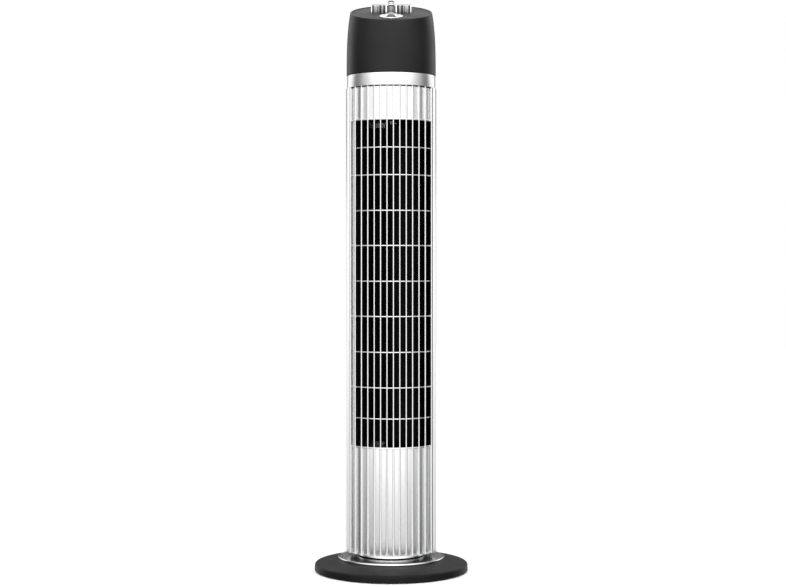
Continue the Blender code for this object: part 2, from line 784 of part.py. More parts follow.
def make_knob(panel_frame):
    profile = [
        (0, 14.2),
        (2.6, 13.9),
        (4.2, 12.8),
        (4.6, 11.4),
        (4.2, 10.4),
        (4.9, 9.4),
        (4.7, 8.4),
        (3.2, 7.6),
        (3.2, -8.0),
        (0, -8.0),
    ]
    turned("oscillation_knob", profile, 20, chrome, (0, KNOB_Y, 0), panel_frame)


def make_dial(panel_frame):
    profile = [
        (0, 2.0),
        (14.4, 2.0),
        (DIAL_R, 1.3),
        (DIAL_R, -0.2),
        (3.8, -0.2),
        (3.8, -9.0),
        (0, -9.0),
    ]
    dial = turned("timer_dial", profile, 32, chrome, (0, DIAL_Y, 0), panel_frame)

    def grip(bm):
        half = 12.6
        section = [(-5.6, 1.2), (5.6, 1.2), (3.0, 7.0), (-3.0, 7.0)]
        front = [bm.verts.new((x * MM, -half * MM, z * MM)) for x, z in section]
        face = bm.faces.new(front)
        grown = bmesh.ops.extrude_face_region(bm, geom=[face])["geom"]
        moved = [v for v in grown if isinstance(v, bmesh.types.BMVert)]
        bmesh.ops.translate(bm, verts=moved, vec=(0, 2 * half * MM, 0))
        bmesh.ops.recalc_face_normals(bm, faces=bm.faces)

    combine(dial, solids("dial_grip", grip, None, (0, DIAL_Y, 0), panel_frame), "UNION")
    timer = rod("timer_mechanism", 16.0, -28.0, -3.8, grey_plastic, 24, (0, DIAL_Y, 0), panel_frame)
    bore = rod("timer_bore", 4.4, -10.0, 0, None, 16, (0, DIAL_Y, 0), panel_frame)
    combine(timer, bore, "DIFFERENCE")


make_base()
make_pivot()
make_slot_arm()
make_bottom_plate()
make_front_housing()
make_rear_housing()
make_handle_cup()
make_rear_screws()
make_grommet()
make_collar()
make_motor()
make_wheel()
make_wheel_bearing()
make_air_duct()
make_foot_electrics()
panel = empty("panel_frame", (0, 0, PANEL_Z), PANEL_TILT)
bpy.context.view_layer.update()
make_head(panel)
make_keys(panel)
make_knob(panel)
make_dial(panel)
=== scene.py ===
"""The looks of the tower fan: fine surfaces, materials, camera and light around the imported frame.

Lengths are millimetres wherever a name or comment doesn't say otherwise; MM turns them into
Blender's metres. The fan stands on z = 0, its axis is Z and its air outlet faces -Y.
"""

import json
import math

import bmesh
import bpy
from mathutils import Matrix, Vector


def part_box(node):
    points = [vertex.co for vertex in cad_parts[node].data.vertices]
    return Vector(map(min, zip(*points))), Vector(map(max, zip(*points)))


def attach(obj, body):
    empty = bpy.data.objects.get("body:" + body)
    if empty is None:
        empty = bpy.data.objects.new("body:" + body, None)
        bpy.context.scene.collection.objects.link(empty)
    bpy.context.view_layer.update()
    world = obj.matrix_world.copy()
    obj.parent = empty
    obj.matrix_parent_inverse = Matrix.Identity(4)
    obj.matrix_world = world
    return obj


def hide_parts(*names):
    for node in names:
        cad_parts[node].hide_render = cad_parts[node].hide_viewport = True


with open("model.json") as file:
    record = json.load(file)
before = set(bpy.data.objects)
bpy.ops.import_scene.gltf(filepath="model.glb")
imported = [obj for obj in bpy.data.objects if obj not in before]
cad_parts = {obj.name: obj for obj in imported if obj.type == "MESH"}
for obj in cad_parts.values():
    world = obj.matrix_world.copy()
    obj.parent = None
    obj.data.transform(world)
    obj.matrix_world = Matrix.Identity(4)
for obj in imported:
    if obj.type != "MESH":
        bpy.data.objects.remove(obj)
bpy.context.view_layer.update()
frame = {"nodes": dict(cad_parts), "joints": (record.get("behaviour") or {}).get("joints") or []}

MM = 0.001

# ---- Camera ----

CAMERA_DISTANCE = 2.22  # metres from the axis
CAMERA_HEIGHT = 0.405
LENS = 77.3
SHIFT_X = 0.0023
SHIFT_Y = -0.0401


def make_camera():
    data = bpy.data.cameras.new("camera")
    data.lens = LENS
    data.sensor_width = 36.0
    data.shift_x = SHIFT_X
    data.shift_y = SHIFT_Y
    camera = bpy.data.objects.new("camera", data)
    camera.location = (0, -CAMERA_DISTANCE, CAMERA_HEIGHT)
    camera.rotation_euler = (math.pi / 2, 0, 0)
    bpy.context.scene.collection.objects.link(camera)
    bpy.context.scene.camera = camera


make_camera()

# ---- Sizes taken from the frame ----


def span(node):
    """Lowest and highest corner of a CAD node, in millimetres."""
    low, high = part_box(node)
    return low / MM, high / MM


def radius_of(node):
    low, high = span(node)
    return (high.x - low.x) / 2


def centre_of(node):
    """Where a CAD node stands, seen from above, in millimetres."""
    low, high = span(node)
    return (low.x + high.x) / 2, (low.y + high.y) / 2


def middle_z(node):
    low, high = span(node)
    return (low.z + high.z) / 2


def joint(name):
    return next(j for j in frame["joints"] if j["name"] == name)


BASE_LOW, BASE_HIGH = span("base_plate")
BASE_R = BASE_HIGH.x
FOOT_COUNT = 4
PIVOT_SCREW_COUNT = 3
BODY_LOW, BODY_HIGH = span("rear_housing")
BODY_LOW.z = span("front_housing")[0].z  # both halves are shown with their lower edges level
BODY_R = BODY_HIGH.y
SEAM_GAP = 0.3
SEAM_Y = BODY_LOW.y - SEAM_GAP
CHASSIS_R = radius_of("motor_plate")
FIN_COUNT = 14
FIN_WIDTH = 1.7
FIN_PITCH = 8.227
FIN_LAST_X = 52.2
FIN_FIRST_X = -52.7  # its gap to the second fin is narrower, and blind
WALL_EDGE_X = 54.0  # where the smooth side wall meets the finned front
PANEL_R = BODY_R - 2.5
FRONT_INNER_R = BODY_R - 4.3
SHADOW_GAP = 0.9  # depth of the groove between the panels and the collar, whose front faces are painted near-black as painted shade
SHADOW_GAP_HEIGHT = 1.0
REAR_INNER_R = BODY_R - 2.7
WINDOW_Z0 = 166.0
WINDOW_Z1 = 588.5
MAJOR_RIB_Z = (243.4, 334.9, 426.1, 516.9)
MINOR_RIB_Z = (203.5, 288.9, 380.2, 471.2, 552.4)

TIMER = joint("timer_turn")
TILT = math.atan2(-TIMER["axis"][1], TIMER["axis"][2])
DIAL_Y = TIMER["pos_m"][1] / math.cos(TILT) / MM
PANEL_Z = TIMER["pos_m"][2] / MM - DIAL_Y * math.sin(TILT)
PANEL_FRAME = Matrix.Translation((0, 0, PANEL_Z * MM)) @ Matrix.Rotation(TILT, 4, "X")
WHEEL_Y = joint("wheel_spin")["pos_m"][1] / MM

# ---- Materials ----


def new_material(name, colour, roughness, metallic=0.0):
    mat = bpy.data.materials.new(name)
    mat.use_nodes = True
    shader = mat.node_tree.nodes["Principled BSDF"]
    shader.inputs["Base Color"].default_value = (*colour, 1)
    shader.inputs["Roughness"].default_value = roughness
    shader.inputs["Metallic"].default_value = metallic
    return mat, mat.node_tree, shader


def add_node(tree, kind, **inputs):
    """A new node with some of its inputs set; an input's spaces are written as underscores."""
    node = tree.nodes.new(kind)
    for name, value in inputs.items():
        node.inputs[name.replace("_", " ")].default_value = value
    return node


def place_on_object(tree, node):
    place = tree.nodes.new("ShaderNodeTexCoord")
    tree.links.new(place.outputs["Object"], node.inputs["Vector"])


def noise(tree, scale, detail=3.0):
    node = add_node(tree, "ShaderNodeTexNoise", Scale=scale, Detail=detail, Roughness=0.55)
    place_on_object(tree, node)
    return node


def vary_roughness(tree, shader, scale, low, high):
    node = noise(tree, scale, 4.0)
    ranged = add_node(
        tree, "ShaderNodeMapRange", From_Min=0.3, From_Max=0.7, To_Min=low, To_Max=high
    )
    tree.links.new(node.outputs["Fac"], ranged.inputs["Value"])
    tree.links.new(ranged.outputs["Result"], shader.inputs["Roughness"])


def vary_colour(tree, shader, scale, low, high):
    node = noise(tree, scale, 3.0)
    ramp = tree.nodes.new("ShaderNodeValToRGB")
    ramp.color_ramp.elements[0].position = 0.3
    ramp.color_ramp.elements[0].color = (*low, 1)
    ramp.color_ramp.elements[1].position = 0.7
    ramp.color_ramp.elements[1].color = (*high, 1)
    tree.links.new(node.outputs["Fac"], ramp.inputs["Fac"])
    tree.links.new(ramp.outputs["Color"], shader.inputs["Base Color"])


def add_bump(tree, shader, height, strength, distance):
    bump = add_node(tree, "ShaderNodeBump", Strength=strength, Distance=distance)
    tree.links.new(height, bump.inputs["Height"])
    tree.links.new(bump.outputs["Normal"], shader.inputs["Normal"])


def grained_plastic(name, low, high, rough_low, rough_high, ior=1.45, grain=1600, depth=0.00006):
    mat, tree, shader = new_material(name, low, rough_low)
    shader.inputs["IOR"].default_value = ior
    vary_colour(tree, shader, 35, low, high)
    vary_roughness(tree, shader, 60, rough_low, rough_high)
    add_bump(tree, shader, noise(tree, grain, 2.0).outputs["Fac"], 0.35, depth)
    return mat


def silver_paint(name="silver_paint", metallic=0.92):
    """Fine metallic paint: tiny flakes under a clear coat with a slight orange peel."""
    mat, tree, shader = new_material(name, (0.78, 0.78, 0.785), 0.3, metallic)
    vary_colour(tree, shader, 2600, (0.77, 0.77, 0.775), (0.795, 0.795, 0.8))
    vary_roughness(tree, shader, 900, 0.24, 0.27)
    shader.inputs["Coat Weight"].default_value = 0.25
    shader.inputs["Coat Roughness"].default_value = 0.12
    add_bump(tree, shader, noise(tree, 700, 1.5).outputs["Fac"], 0.12, 0.00003)
    return mat


def chrome(name="chrome", colour=(0.86, 0.865, 0.88), low=0.06, high=0.12):
    mat, tree, shader = new_material(name, colour, low, 1.0)
    vary_roughness(tree, shader, 120, low, high)
    return mat


def spun_metal():
    """Bright metal turned on a lathe: fine rings, which stretch its highlights outward."""
    mat, tree, shader = new_material("spun_metal", (0.78, 0.785, 0.795), 0.3, 1.0)
    shader.inputs["Anisotropic"].default_value = 0.3
    shader.inputs["Anisotropic Rotation"].default_value = 0.25
    tangent = tree.nodes.new("ShaderNodeTangent")
    tangent.direction_type = "RADIAL"
    tangent.axis = "Z"
    tree.links.new(tangent.outputs["Tangent"], shader.inputs["Tangent"])
    rings = add_node(tree, "ShaderNodeTexWave", Scale=900, Distortion=2.0)
    rings.wave_type = "RINGS"
    rings.rings_direction = "Z"
    place_on_object(tree, rings)
    vary_roughness(tree, shader, 200, 0.2, 0.26)
    add_bump(tree, shader, rings.outputs["Fac"], 0.08, 0.00002)
    return mat


def brushed(name, low, high, rough_low, rough_high, stretch=(40, 40, 2500)):
    """Metal with fine lines round its axis."""
    mat, tree, shader = new_material(name, low, rough_low, 1.0)
    mapping = add_node(tree, "ShaderNodeMapping", Scale=stretch)
    place_on_object(tree, mapping)
    lines = add_node(tree, "ShaderNodeTexNoise", Scale=1.0, Detail=4.0)
    tree.links.new(mapping.outputs["Vector"], lines.inputs["Vector"])
    vary_colour(tree, shader, 90, low, high)
    vary_roughness(tree, shader, 150, rough_low, rough_high)
    add_bump(tree, shader, lines.outputs["Fac"], 0.2, 0.00005)
    return mat


def wound_copper():
    """Enamelled wire laid in even turns."""
    mat, tree, shader = new_material("enamelled_copper", (0.5, 0.17, 0.05), 0.3, 0.7)
    wave = add_node(tree, "ShaderNodeTexWave", Scale=600, Distortion=1.5)
    wave.wave_type = "BANDS"
    wave.bands_direction = "Z"
    place_on_object(tree, wave)
    vary_colour(tree, shader, 200, (0.42, 0.13, 0.04), (0.6, 0.24, 0.08))
    add_bump(tree, shader, wave.outputs["Fac"], 0.6, 0.0002)
    return mat


def printed_ink():
    mat, tree, shader = new_material("printed_ink", (0.2, 0.42, 0.52), 0.5)
    vary_colour(tree, shader, 900, (0.17, 0.38, 0.48), (0.24, 0.48, 0.58))
    return mat


BLACK = grained_plastic(
    "black_moulding", (0.007, 0.007, 0.0072), (0.01, 0.01, 0.0102), 0.36, 0.44, 1.29
)
PANEL_BLACK = grained_plastic(
    "panel_moulding", (0.006, 0.006, 0.0062), (0.009, 0.009, 0.0092), 0.38, 0.46, 1.23
)
KEY_GREY = grained_plastic("key_core_grey", (0.06, 0.06, 0.061), (0.07, 0.07, 0.071), 0.3, 0.4)
BASE_BLACK = grained_plastic(
    "base_moulding", (0.005, 0.005, 0.0052), (0.008, 0.008, 0.0082), 0.44, 0.52, 1.21
)
# Near-black inner mouldings; also laid on the housing's groove under the collar and on the neck's foot as
# painted shade.
DARK = grained_plastic("dark_inner_moulding_and_painted_shade", (0.002, 0.002, 0.002), (0.003, 0.003, 0.003), 0.5, 0.6, 1.12)
GREY = grained_plastic("grey_inner_moulding", (0.2, 0.2, 0.205), (0.25, 0.25, 0.255), 0.45, 0.55)
WHITE = grained_plastic("white_acetal", (0.75, 0.75, 0.72), (0.8, 0.8, 0.78), 0.35, 0.45)
RUBBER = grained_plastic("rubber", (0.012, 0.012, 0.012), (0.02, 0.02, 0.02), 0.75, 0.9, 1.4, 900, 0.0001)
SILVER = silver_paint()
BRIGHT_DISC = silver_paint("bright_disc", 0.5)
CHROME = chrome()
SATIN_CHROME = chrome("satin_chrome", (0.82, 0.825, 0.835), 0.36, 0.44)
SPUN_METAL = spun_metal()
STEEL = brushed("steel", (0.42, 0.42, 0.43), (0.52, 0.52, 0.53), 0.3, 0.42)
# A darker chrome for the dial grip's front face, a painted dark reflection.
PAINTED_DARK_REFLECTION = brushed("chrome_with_painted_dark_reflection", (0.27, 0.27, 0.275), (0.32, 0.32, 0.325), 0.25, 0.35)
BRONZE = brushed("sintered_bronze", (0.36, 0.22, 0.1), (0.46, 0.29, 0.14), 0.4, 0.55, (900, 900, 900))
COPPER = wound_copper()
INK = printed_ink()

# ---- Mesh tools ----


def rounded(points, radius, closed=True, steps=4, least_turn=20):
    """The outline with its corners turned into arcs; bends under least_turn degrees stay."""
    result = []
    count = len(points)
    for i, corner in enumerate(points):
        at_end = not closed and i in (0, count - 1)
        corner = Vector(corner)
        before = Vector(points[i - 1]) - corner
        after = Vector(points[(i + 1) % count]) - corner
        if at_end or before.length < 1e-9 or after.length < 1e-9:
            result.append(tuple(corner))
            continue
        turn = math.pi - before.angle(after)
        if math.degrees(turn) < least_turn:
            result.append(tuple(corner))
            continue
        reach = min(radius * math.tan(turn / 2), 0.48 * before.length, 0.48 * after.length)
        bend = reach / math.tan(turn / 2)
        start = before.normalized() * reach
        end = after.normalized() * reach
        centre = (start + end).normalized() * (bend / math.cos(turn / 2))
        for k in range(steps + 1):
            spoke = (start - centre).slerp(end - centre, k / steps)
            result.append(tuple(corner + centre + spoke.normalized() * bend))
    return result


def rectangle(x0, y0, x1, y1):
    return [(x0, y0), (x1, y0), (x1, y1), (x0, y1)]


def arc(radius, start, end, steps, centre=(0, 0)):
    """Points on a circle, from one angle to the other, in degrees."""
    angles = [math.radians(start + (end - start) * i / steps) for i in range(steps + 1)]
    return [(centre[0] + radius * math.cos(a), centre[1] + radius * math.sin(a)) for a in angles]


def finish_mesh(bm, name, mat, sharp=32, matrix=None):
    bmesh.ops.remove_doubles(bm, verts=bm.verts, dist=1e-7)
    bmesh.ops.recalc_face_normals(bm, faces=bm.faces)
    mesh = bpy.data.meshes.new(name)
    bm.to_mesh(mesh)
    bm.free()
    if matrix is not None:
        mesh.transform(matrix)
    mesh.shade_smooth()
    mesh.set_sharp_from_angle(angle=math.radians(sharp))
    if mat is not None:
        mesh.materials.append(mat)
    obj = bpy.data.objects.new(name, mesh)
    bpy.context.scene.collection.objects.link(obj)
    return obj


def skin_rings(bm, rings, close_ends=True, wrap=True):
    """Faces between successive rings of vertices, and a face over each end."""
    for lower, upper in zip(rings, rings[1:]):
        count = len(lower)
        for i in range(count if wrap else count - 1):
            j = (i + 1) % count
            corners = [lower[i], lower[j], upper[j], upper[i]]
            unique = list(dict.fromkeys(corners))
            if len(unique) > 2:
                bm.faces.new(unique)
    if close_ends:
        bm.faces.new(rings[0])
        bm.faces.new(rings[-1])


def revolve(name, profile, mat, segments=160, centre=(0, 0), radius=0.35, matrix=None, sharp=32):
    """A closed (radius, height) profile, or one that starts and ends on the axis, turned about Z."""
    on_axis = profile[0][0] < 1e-6 and profile[-1][0] < 1e-6
    outline = rounded(profile, radius, closed=not on_axis)
    bm = bmesh.new()
    columns = []
    poles = {}
    for k in range(segments):
        angle = math.tau * k / segments
        column = []
        for r, z in outline:
            if r < 1e-6:
                key = round(z, 6)
                if key not in poles:
                    poles[key] = bm.verts.new((centre[0] * MM, centre[1] * MM, z * MM))
                column.append(poles[key])
            else:
                x = centre[0] + r * math.cos(angle)
                y = centre[1] + r * math.sin(angle)
                column.append(bm.verts.new((x * MM, y * MM, z * MM)))
        columns.append(column)
    columns.append(columns[0])
    skin_rings(bm, columns, close_ends=False, wrap=not on_axis)
    return finish_mesh(bm, name, mat, sharp, matrix)


def prism(name, outline, low, high, mat=None, matrix=None, edge=0.0, edge_steps=3):
    """A flat outline given thickness along Z, its rims rounded by edge."""
    bm = bmesh.new()
    levels = [(low, 0.0), (high, 0.0)]
    if edge:
        turns = [math.pi / 2 * k / edge_steps for k in range(edge_steps + 1)]
        levels = [(low + edge * (1 - math.sin(a)), edge * (1 - math.cos(a))) for a in reversed(turns)]
        levels += [(high - edge * (1 - math.sin(a)), edge * (1 - math.cos(a))) for a in turns]
    rings = []
    for z, inset in levels:
        shape = inset_outline(outline, inset) if inset > 1e-9 else outline
        rings.append([bm.verts.new((x * MM, y * MM, z * MM)) for x, y in shape])
    skin_rings(bm, rings)
    return finish_mesh(bm, name, mat, 32, matrix)


def inset_outline(outline, distance):
    """Each point moved inward along the bisector of its two edges."""
    points = [Vector(p) for p in outline]
    area = sum(a.cross(b) for a, b in zip(points, points[1:] + points[:1]))
    side = 1 if area > 0 else -1
    moved = []
    for i, point in enumerate(points):
        before = (point - points[i - 1]).normalized()
        after = (points[(i + 1) % len(points)] - point).normalized()
        normal = Vector((-before.y - after.y, before.x + after.x)) * side
        if normal.length < 1e-9:
            moved.append(tuple(point))
            continue
        normal.normalize()
        cosine = max(0.35, normal.dot(Vector((-after.y, after.x)) * side))
        moved.append(tuple(point + normal * distance / cosine))
    return moved


def combine(obj, other, operation):
    """The Boolean of two meshes, applied; the other object is used up."""
    mod = obj.modifiers.new("combine", "BOOLEAN")
    mod.object = other
    mod.operation = operation
    mod.solver = "MANIFOLD"
    graph = bpy.context.evaluated_depsgraph_get()
    mesh = bpy.data.meshes.new_from_object(obj.evaluated_get(graph))
    obj.modifiers.clear()
    old = obj.data
    obj.data = mesh
    bpy.data.meshes.remove(old)
    bpy.data.objects.remove(other, do_unlink=True)


def tidy_shading(obj, sharp=32):
    obj.data.shade_smooth()
    obj.data.set_sharp_from_angle(angle=math.radians(sharp))
    return obj


def joined(name, builders, mat=None):
    """One mesh from several functions that each add a closed solid to a bmesh."""
    bm = bmesh.new()
    for build in builders:
        build(bm)
    return finish_mesh(bm, name, mat)


def stadium(width, height, steps=8):
    """An upright slot outline about the origin."""
    half = width / 2
    straight = height / 2 - half
    top = [(half * math.cos(a), straight + half * math.sin(a)) for a in half_turn(0, steps)]
    bottom = [(half * math.cos(a), -straight + half * math.sin(a)) for a in half_turn(math.pi, steps)]
    return top + bottom


def half_turn(start, steps):
    return [start + math.pi * k / steps for k in range(steps + 1)]


def loft(bm, sections):
    """A closed solid through a list of rings of points, in millimetres."""
    rings = [[bm.verts.new(Vector(p) * MM) for p in section] for section in sections]
    skin_rings(bm, rings)


def keep(obj, body, slot, *nodes):
    """The piece rides on its body and stands for its CAD nodes; slot is not used."""
    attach(obj, body)
    if nodes:
        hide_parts(*nodes)


# ---- Base ----


def make_base():
    top = 16.8
    z0 = BASE_LOW.z
    slope_start = 70.0
    rim = [(BASE_R - 3.8, 11.0), (BASE_R - 1.9, 10.45), (BASE_R - 0.6, 9.4), (BASE_R, 8.0)]
    profile = [(23.4, top), (slope_start, top)] + rim
    profile += [(BASE_R, z0 + 0.5), (BASE_R - 0.5, z0), (86.0, z0), (86.0, 9.6), (70.0, 13.6), (23.4, 13.6)]
    base = revolve("base_plate_shell", profile, BASE_BLACK, 256, radius=0.4, sharp=28)
    pockets = []
    for number in range(1, FOOT_COUNT + 1):
        node = f"rubber_foot_{number}"
        centre = centre_of(node)
        foot_top = span(node)[1].z
        pockets.append(lambda bm, c=centre: add_rod(bm, 5.5, -2, 3.0, c))
        foot = [(0, foot_top), (5.0, foot_top), (5.0, 0.6), (4.4, 0.0), (0, 0.0)]
        pad = revolve(f"rubber_foot_pad_{number}", foot, RUBBER, 48, centre, 0.3)
        keep(pad, "base", "rubber", node)
    for number in range(1, PIVOT_SCREW_COUNT + 1):
        centre = centre_of(f"pivot_screw_{number}")
        pockets.append(lambda bm, c=centre: add_rod(bm, 1.9, 12.0, 15.9, c, 24))
    combine(base, joined("base_pockets", pockets), "DIFFERENCE")
    keep(tidy_shading(base, 28), "base", "base_black", "base_plate")

    low, high = span("base_trim_ring")
    r = high.x
    bead = 2.0
    hole = radius_of("neck_ring") + 0.6
    ring = [(hole, low.z), (hole, high.z), (hole + 1.4, high.z), (58.0, 19.8), (r - 2.3, 19.05)]
    ring += [(r - 1.3, 19.55), (r - 0.3, 19.5), (r, 18.9), (r, low.z)]
    trim = revolve("base_trim_flange", ring, SPUN_METAL, 256, radius=0.3, sharp=28)
    trim.data.materials.append(CHROME)
    for face in trim.data.polygons:
        face.material_index = int(Vector(face.center[:2]).length > (r - bead) * MM)
    keep(trim, "base", "chrome", "base_trim_ring")


def add_rod(bm, radius, z0, z1, at=(0, 0), segments=40, matrix=None):
    shape = Matrix.Translation(Vector((at[0], at[1], (z0 + z1) / 2)) * MM)
    bmesh.ops.create_cone(
        bm,
        cap_ends=True,
        segments=segments,
        radius1=radius * MM,
        radius2=radius * MM,
        depth=(z1 - z0) * MM,
        matrix=(matrix or Matrix.Identity(4)) @ shape,
    )


def make_pivot():
    low, high = span("pivot_tube")
    tube = [(22.6, high.z), (22.6, 13.3), (36.0, 13.3), (36.0, low.z), (18.6, low.z), (18.6, high.z)]
    pivot = revolve("pivot_spigot", tube, GREY, 96, radius=0.5)
    holes = []
    for number in range(1, PIVOT_SCREW_COUNT + 1):
        centre = centre_of(f"pivot_screw_{number}")
        holes.append(lambda bm, c=centre: add_rod(bm, 1.9, 5.0, 20.0, c, 24))
    combine(pivot, joined("pivot_holes", holes), "DIFFERENCE")
    keep(tidy_shading(pivot), "base", "chassis", "pivot_tube")
    for number in range(1, PIVOT_SCREW_COUNT + 1):
        node = f"pivot_screw_{number}"
        low, high = span(node)
        spot = Matrix.Translation(Vector((*centre_of(node), high.z)) * MM)
        head_down = spot @ Matrix.Rotation(math.pi, 4, "X")
        screw = pan_screw(f"pivot_pan_screw_{number}", high.z - low.z, head_down)
        keep(screw, "base", "steel", node)
    plain_ring(
        "thrust_washer_ring", "thrust_washer", 34.5, 24.0, WHITE, "base", "acetal", radius=0.35
    )
    plain_ring(
        "pivot_lock_nut", "pivot_lock_ring", 30.0, 22.95, GREY, "base", "chassis", radius=0.8
    )


def pan_screw(name, top, matrix, head_h=2.0):
    """A pan-head screw with a cross recess, its head up at z = top before the matrix."""
    head_r = 3.2
    profile = [(0, 0), (0.4, 0), (1.35, 2.0), (1.35, top - head_h), (head_r, top - head_h)]
    profile += [(head_r, top - 0.8), (head_r - 0.7, top - 0.15), (1.4, top), (0, top)]
    screw = revolve(name, profile, STEEL, 48, radius=0.3)
    low_corner = (-1.9, -0.35, top - 1.1)
    high_corner = (1.9, 0.35, top + 1)
    for turn in (0, math.pi / 2):
        spin = Matrix.Rotation(turn, 4, "Z")
        arm = joined("recess", [lambda bm: add_block(bm, low_corner, high_corner, spin)])
        combine(screw, arm, "DIFFERENCE")
    screw.data.transform(matrix)
    return tidy_shading(screw)


def add_block(bm, low, high, matrix=None):
    size = [(b - a) * MM for a, b in zip(low, high)]
    centre = Vector([(a + b) / 2 * MM for a, b in zip(low, high)])
    shape = Matrix.Translation(centre) @ Matrix.Diagonal((*size, 1))
    bmesh.ops.create_cube(bm, size=1, matrix=(matrix or Matrix.Identity(4)) @ shape)


# ---- Front housing ----

FILLET_STEPS = [k / 5 for k in range(6)]
FILLET_WIDTH = 1.1
FILLET_START = 0.9  # how far behind the nose a fin's fillets start
FILLET_SINK = 0.13  # how far the fillets' feet sink into the panel
FREE_FIN_DEPTH = 8.0
MAJOR_RIB_SET_IN = 1.0
MINOR_RIB_SET_IN = 2.1
LIP_SET_IN = 0.6
RIB_HALF = 0.75
LIP_HALF = 1.1
RIB_DEPTH = 4.5
WALL_TURN = math.degrees(math.acos(WALL_EDGE_X / BODY_R))


def fin_x(i):
    if i == 0:
        return FIN_FIRST_X
    return FIN_LAST_X - (FIN_COUNT - 1 - i) * FIN_PITCH


def front_y(radius, x):
    return -math.sqrt(radius * radius - x * x)


def fin_section(x, flare, back_r, z, depth=0.0):
    """Rounded nose, fillets of width flare down to the panel, and a back on radius back_r."""
    half = FIN_WIDTH / 2
    front = front_y(BODY_R, x)
    section = []
    for side in (1, -1):
        edge = x + side * half
        foot_x = edge + side * flare
        tip = Vector((edge, min(front + FILLET_START, front_y(PANEL_R, edge) - 0.2)))
        corner = Vector((edge, front_y(PANEL_R - FILLET_SINK, edge)))
        foot = Vector((foot_x, front_y(PANEL_R - FILLET_SINK, foot_x)))
        curve = [foot * (1 - t) ** 2 + corner * (2 * t * (1 - t)) + tip * t**2 for t in FILLET_STEPS]
        back = front + depth if depth else front_y(back_r, foot_x)
        flank = [Vector((foot_x, back))] + curve
        section.append(flank if side > 0 else flank[::-1])
    nose = []
    for a in half_turn(math.pi, 10):
        nose.append(Vector((x - half * math.cos(a), front + half + half * math.sin(a))))
    right, left = section
    return [(px, py, z) for px, py in right + nose[1:-1] + left]


def make_fins(bm):
    """Upright fins on the body's cylinder, filleted into the panels and free in the window."""
    root = (FILLET_WIDTH, PANEL_R - 0.6)
    in_groove = (0.0, PANEL_R - SHADOW_GAP - 0.4)
    levels = [
        (BODY_LOW.z + 0.5, root),
        (WINDOW_Z0 - 0.9, root),
        (WINDOW_Z0 - 0.5, None),
        (WINDOW_Z1 + 0.5, None),
        (WINDOW_Z1 + 0.9, root),
        (BODY_HIGH.z - SHADOW_GAP_HEIGHT - 0.5, root),
        (BODY_HIGH.z - SHADOW_GAP_HEIGHT - 0.2, in_groove),
        (BODY_HIGH.z - 0.1, in_groove),
    ]
    for i in range(FIN_COUNT):
        x = fin_x(i)
        sections = []
        for z, shape in levels:
            if shape is None:
                sections.append(fin_section(x, 0.0, 0.0, z, depth=FREE_FIN_DEPTH))
            else:
                sections.append(fin_section(x, shape[0], shape[1], z))
        loft(bm, sections)


def make_ribs(bm):
    """Level ribs with rounded fronts; the major ones also cross the blind slot on the left."""
    levels = [(z, BODY_R - MAJOR_RIB_SET_IN, 0, RIB_HALF) for z in MAJOR_RIB_Z]
    levels += [(z, BODY_R - MINOR_RIB_SET_IN, 1, RIB_HALF) for z in MINOR_RIB_Z]
    levels += [(z, BODY_R - LIP_SET_IN, 0, LIP_HALF) for z in (WINDOW_Z0, WINDOW_Z1)]
    for z, radius, first, half in levels:
        corners = [(0, -half), (0, half), (RIB_DEPTH, half), (RIB_DEPTH, -half)]
        cross = rounded(corners, half - 0.15, steps=5)
        start = fin_x(first)
        end = fin_x(FIN_COUNT - 1)
        stations = 4 * (FIN_COUNT - 1 - first)
        sections = []
        for k in range(stations + 1):
            x = start + (end - start) * k / stations
            sections.append([(x, front_y(radius, x) + d, z + e) for d, e in cross])
        loft(bm, sections)


def front_outline(drop):
    """The front moulding seen from above, its finned panels set in by drop."""
    panel_end = -math.degrees(math.acos(WALL_EDGE_X / (PANEL_R - drop)))
    seam = math.degrees(math.asin(SEAM_Y / BODY_R))
    inner_seam = math.degrees(math.asin(SEAM_Y / FRONT_INNER_R))
    outline = arc(BODY_R, seam, -WALL_TURN, 14)
    outline += arc(PANEL_R - drop, panel_end, -180 - panel_end, 104)
    outline += arc(BODY_R, WALL_TURN - 180, -180 - seam, 14)
    outline += arc(FRONT_INNER_R, -180 - inner_seam, inner_seam, 96)
    return outline


def make_front_housing():
    z0 = BODY_LOW.z
    z1 = BODY_HIGH.z
    levels = [(z0, 0.5, 0), (z0 + 0.15, 0.15, 0), (z0 + 0.5, 0, 0)]
    gap_z = z1 - SHADOW_GAP_HEIGHT
    levels += [(gap_z - 0.25, 0, 0), (gap_z - 0.05, 0, 0.2)]
    levels += [(gap_z, 0, SHADOW_GAP), (z1, 0, SHADOW_GAP)]
    bm = bmesh.new()
    rings = []
    for z, inset, drop in levels:
        outline = front_outline(drop)
        if inset:
            outline = inset_outline(outline, inset)
        rings.append([bm.verts.new((x * MM, y * MM, z * MM)) for x, y in outline])
    skin_rings(bm, rings)
    shell = finish_mesh(bm, "front_housing_moulding", SILVER)
    low_x = fin_x(1) - 0.5
    high_x = fin_x(FIN_COUNT - 1) - 0.5
    low_corner = (low_x, -70, WINDOW_Z0)
    high_corner = (high_x, -5, WINDOW_Z1)
    window = joined("window", [lambda bm: add_block(bm, low_corner, high_corner)])
    combine(shell, window, "DIFFERENCE")
    combine(shell, joined("fins", [make_fins]), "UNION")
    combine(shell, joined("ribs", [make_ribs]), "UNION")
    # Painted shade: the groove's front faces under the collar take the near-black material, drawn as the
    # collar's shadow line.
    shell.data.materials.append(DARK)
    dark = len(shell.data.materials) - 1
    for face in shell.data.polygons:
        outward = Vector(face.center[:2]).length / MM
        height = face.center.z / MM
        in_gap = gap_z - 0.06 < height < z1 - 0.01 and outward < PANEL_R - 0.3
        if in_gap and face.normal.y < -0.2:
            face.material_index = dark
    keep(tidy_shading(shell, 30), "tower", "silver", "front_housing")


# ---- Rear housing ----

